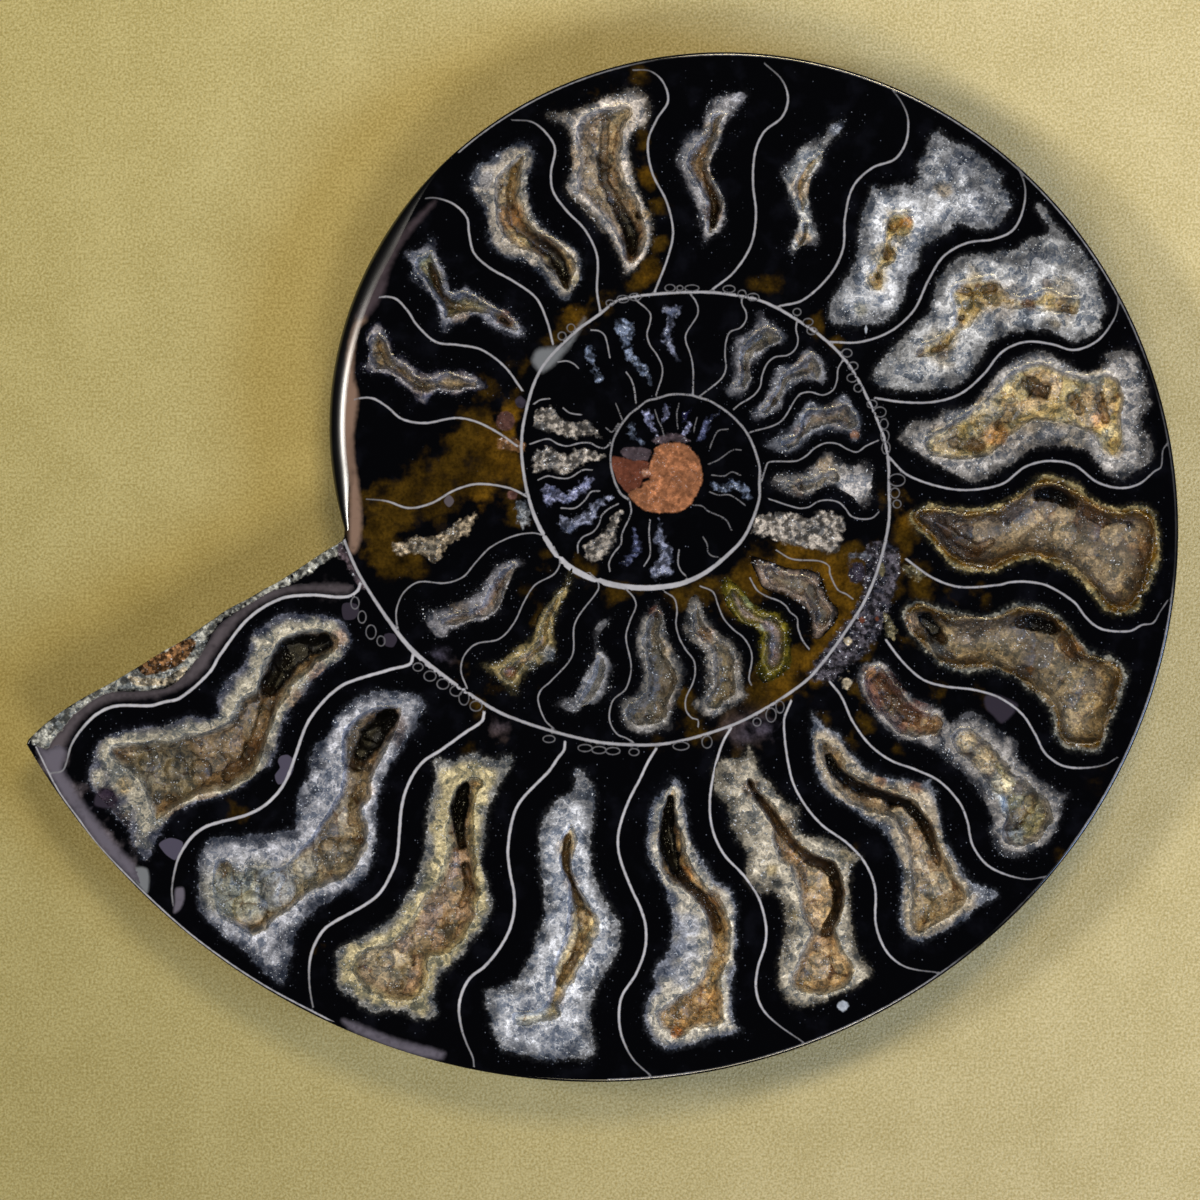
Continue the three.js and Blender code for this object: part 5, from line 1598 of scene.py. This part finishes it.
def fibres(paint, across, along):
    """Noise drawn out at right angles to the rim of a hollow, as its crystals grow."""
    place_on_rim = paint.times(paint.value("along"), 1 / across)
    inward = paint.times(paint.value("fringe"), 1 / along)
    vector = paint.node("ShaderNodeCombineXYZ", {0: place_on_rim, 1: inward}).outputs[0]
    return paint.node("ShaderNodeTexNoise", {"Vector": vector, "Scale": 1.0, "Detail": 2.0}).outputs["Fac"]


def crystal_share(paint):
    """Share of crystal over black calcite near the rim of a hollow, the same on both sides of it."""
    broad = paint.times(paint.noise(13, 2.0), 9.0)
    fine = paint.times(paint.noise(3.0, 4.0), 8.0)
    drawn = paint.times(fibres(paint, 3.2, 16.0), 3.0)
    warp = paint.plus(paint.plus(broad, fine), drawn)
    level = paint.plus(paint.value("fringe"), paint.minus(warp, 10.0))
    firm = paint.times(paint.fade(-1.3, 1.3, level), 0.88)
    return paint.scaled(paint.fade(-6.0, 3.0, level), 0.12, firm)


def bent_spot(paint, size, bend):
    """Place in the object, bent by noise, so that cells have uneven sides."""
    reach = (bend * TENTH,) * 3
    sockets = {0: paint.swirl(size, 2.0)["Color"], 1: reach, 2: paint.spot}
    return paint.node("ShaderNodeVectorMath", sockets, operation="MULTIPLY_ADD").outputs[0]


def blocks(paint, spot, size):
    """Random value of each crystal and nearness to its edge."""
    colour = paint.cells(size, spot)["Color"]
    edge = paint.cells(size, spot, "DISTANCE_TO_EDGE")["Distance"]
    return paint.parts(colour)[0], paint.fade(0.11, 0.0, edge)


def sugar(paint, colour):
    """Colour broken into crystals of many tones with pale edges, as sawn crystal is, and with painted glints
    as bright specks.
    """
    spot = bent_spot(paint, 9.0, 10.0)
    large, large_edge = blocks(paint, spot, 10.0)
    small, small_edge = blocks(paint, spot, 4.2)
    tone = paint.times(paint.scaled(large, 0.62, 0.56), paint.scaled(small, 0.6, 0.66))
    edges = paint.larger(paint.times(large_edge, 0.55), paint.times(small_edge, 0.4))
    tone = paint.scaled(edges, paint.fade(0.4, 0.62, paint.noise(7, 2.0)), tone)
    fine = paint.scaled(paint.noise(2.0, 3.0), 1.3, 0.36)
    clouds = paint.scaled(paint.noise(22, 3.0), 1.7, 0.18)
    both = paint.power(paint.times(tone, paint.times(fine, clouds)), 1.3)
    cool = paint.mix(paint.fade(0.9, 0.4, both), WHITE, COOL)
    grains = paint.dyed(paint.dyed(colour, cool), paint.grey(both))
    # Painted glints: bright specks of reflected light, in patches
    patches = paint.fade(0.42, 0.58, paint.noise(12, 2.0))
    painted_glint = paint.times(paint.fade(0.64, 0.72, paint.noise(1.9, 1.0)), patches)
    return paint.mix(paint.times(painted_glint, 0.62), grains, PAINTED_GLINT)


def black_calcite(paint):
    """Black stone with a faint haze and small pale dots, more of them near the hollows."""
    haze = paint.fade(0.5, 0.78, paint.noise(26, 4.0))
    base = paint.mix(paint.times(haze, 0.4), BLACK, BLACK_HAZE)
    dots = paint.cells(2.6, paint.spot)
    chosen, bright, _ = paint.parts(dots["Color"])
    near = paint.fade(-24, -3, paint.value("fringe"))
    level = paint.minus(0.988, paint.times(near, 0.15))
    shown_dots = paint.times(paint.fade(0.35, 0.1, dots["Distance"]), paint.above(chosen, level))
    strength = paint.times(shown_dots, paint.scaled(paint.power(bright, 3.0), 0.7, 0.08))
    return paint.mix(strength, base, BLACK_DOTS)


def washed(paint, base):
    """Base with the soft stains over it."""
    strength = paint.strength("wash")
    cover = paint.scaled(paint.noise(20, 6.0), 1.3, paint.times(strength, 0.55))
    stain = paint.times(paint.fade(0.78, 1.15, cover), paint.fade(0.03, 0.3, strength))
    grains = paint.times(paint.noise(3.0, 4.0), 1.8)
    clouds = paint.larger(paint.scaled(paint.noise(18, 4.0), 3.2, -0.6), 0.15)
    return paint.mix(stain, base, paint.dyed(paint.colour("wash"), paint.grey(paint.times(grains, clouds))))


def marked(paint, base):
    """Base with the marks over it. Their grain is above 0 where they are crystal and below 0 where they are
    smears of shell."""
    grain = paint.larger(paint.value("grain"), 0.0)
    smear = paint.larger(paint.times(paint.value("grain"), -1.0), 0.0)
    ragged = paint.times(paint.minus(paint.noise(6, 5.0), 0.52), 16.0)
    inside = paint.scaled(ragged, paint.larger(grain, paint.times(smear, 0.4)), paint.value("mark"))
    tint = paint.colour("mark_tint")
    mottled = paint.grey(paint.scaled(paint.noise(5, 5.0), 1.9, 0.05))
    plain = paint.dyed(tint, paint.mix(paint.fade(0.0, 0.12, grain), WHITE, mottled))
    gaps = paint.scaled(paint.fade(0.4, 0.6, paint.noise(6.5, 3.0)), 1.5, 0.25)
    rough = paint.dyed(sugar(paint, tint), paint.grey(gaps))
    soft = paint.plus(paint.scaled(grain, 1.6, 0.7), paint.times(smear, 6.0))
    shown_marks = paint.fade(paint.times(soft, -1.0), soft, inside)
    return paint.mix(shown_marks, base, paint.mix(grain, plain, rough))


def lined(paint, base):
    """Base with the lines of shell over it."""
    waver = paint.times(paint.minus(paint.noise(5, 2.0), 0.5), 0.9)
    line = paint.fade(0.8, -0.7, paint.plus(paint.value("line"), waver))
    tone = paint.times(paint.value("tone"), paint.scaled(paint.noise(11, 3.0), 0.8, 0.6))
    return paint.mix(line, base, paint.dyed(SHELL_LINE, paint.grey(tone)))


def cut_paint():
    paint = Paint("cut_calcite")
    base = washed(paint, black_calcite(paint))
    base = paint.mix(crystal_share(paint), base, sugar(paint, paint.colour("rim_tint")))
    base = lined(paint, marked(paint, base))
    edge = paint.fade((CUT - 0.15) * TENTH, (CUT - 0.6) * TENTH, paint.ways()[2])
    return paint.finish(base, paint.scaled(edge, 0.18, 0.04), paint.scaled(edge, 0.35, 0.4))


def back_paint():
    paint = Paint("dark_shell")
    base = paint.mix(paint.fade(0.4, 0.7, paint.noise(60, 5.0)), DARK_SHELL, BROWN_SHELL)
    nacre = paint.times(paint.fade(0.56, 0.66, paint.noise(85, 4.0)), 0.55)
    base = paint.mix(nacre, base, NACRE)
    suture = paint.plus(paint.value("suture"), paint.times(paint.noise(14, 4.0), 0.02))
    base = paint.mix(paint.fade(0.985, 0.998, suture), base, SUTURE)
    rock = paint.mix(paint.fade(0.4, 0.62, paint.noise(24, 4.0)), BROWN_ROCK, GREY_ROCK)
    rock = sugar(paint, paint.mix(paint.fade(0.58, 0.66, paint.noise(30, 3.0)), rock, RUSTY_ROCK))
    broken = paint.value("broken")
    base = paint.mix(broken, base, rock)
    return paint.finish(base, paint.scaled(broken, 0.35, 0.2), 0.45, paint.noise(9, 4.0), 0.6)


def crystal_paint(name):
    paint = Paint(name)
    tint = sugar(paint, paint.colour("tint"))
    base = paint.mix(crystal_share(paint), black_calcite(paint), tint)
    rough = paint.scaled(paint.value("inside"), 0.4, 0.06)
    grain = paint.times(paint.noise(3, 4.0), paint.value("inside"))
    return paint.finish(base, rough, 0.36, grain, 0.5)


def floor_paint():
    paint = Paint("pale_straw")
    fine = paint.plus(paint.times(paint.noise(2.5, 4.0), 0.85), paint.times(paint.noise(60, 2.0), 0.15))
    base = paint.mix(paint.fade(0.32, 0.68, fine), DARK_STRAW, PALE_STRAW)
    across, up, _ = paint.ways()
    # Painted light: warmer straw towards the left and whiter towards the right, as a painted sheen
    base = paint.dyed(base, paint.mix(paint.fade(-0.07, 0.05, across), STRAW_WITHOUT_SHEEN, WHITE))
    # Painted light: brighter towards the top and the right and darker towards the bottom and the left
    painted_light_falloff = paint.scaled(up, 1.7, paint.scaled(across, 2.7, 0.8))
    painted_light_falloff = paint.smaller(paint.larger(painted_light_falloff, 0.55), 1.05)
    return paint.finish(paint.dyed(base, paint.grey(painted_light_falloff)), 0.6, 0.1, paint.noise(2.7, 3.0), 2.2)


# Floor, lights and camera

def floor():
    corners = [(-1, -1), (1, -1), (1, 1), (-1, 1)]
    mesh = bpy.data.meshes.new("floor")
    mesh.from_pydata([(x * FLOOR_HALF, y * FLOOR_HALF, 0) for x, y in corners], [], [(0, 1, 2, 3)])
    mesh.materials.append(floor_paint())
    shown("floor", mesh)


def lamp(name, bearing, height, away, side, power, colour):
    """Square light that looks at the middle of the fossil."""
    data = bpy.data.lights.new(name, "AREA")
    data.shape = "SQUARE"
    data.size = side
    data.energy = power
    data.color = colour
    turn, lift = math.radians(bearing), math.radians(height)
    spot = Vector((math.cos(turn) * math.cos(lift), math.sin(turn) * math.cos(lift), math.sin(lift))) * away
    made = shown(name, data)
    made.location = spot
    made.rotation_euler = (-spot).to_track_quat("-Z", "Y").to_euler()


def surroundings():
    world = bpy.data.worlds.new("studio")
    world.use_nodes = True
    background = world.node_tree.nodes["Background"]
    background.inputs["Color"].default_value = (*SKY, 1)
    background.inputs["Strength"].default_value = SKY_STRENGTH
    bpy.context.scene.world = world
    bpy.context.scene.view_settings.view_transform = "Standard"


def camera():
    """Camera straight above the cut."""
    data = bpy.data.cameras.new("camera")
    data.sensor_width = SENSOR_WIDTH
    data.lens = SENSOR_WIDTH * VIEW_HEIGHT / VIEW_WIDTH
    made = shown("camera", data)
    across, up = place(*VIEW_CENTRE) * TENTH
    made.location = (across, up, CUT * TENTH + VIEW_HEIGHT)
    bpy.context.scene.camera = made


def linings(rims):
    slots = sorted({hollow["slot"] for hollow in HOLLOWS})
    paints = {slot: crystal_paint(slot + "_crystal") for slot in slots}
    for index, (hollow, rim) in enumerate(zip(HOLLOWS, rims)):
        lining_piece(index, hollow, rim, paints[hollow["slot"]])


rims = hollow_rims()
fossil_piece(rims)
linings(rims)
floor()
for name, setting in LAMPS.items():
    lamp(name, *setting)
surroundings()
camera()
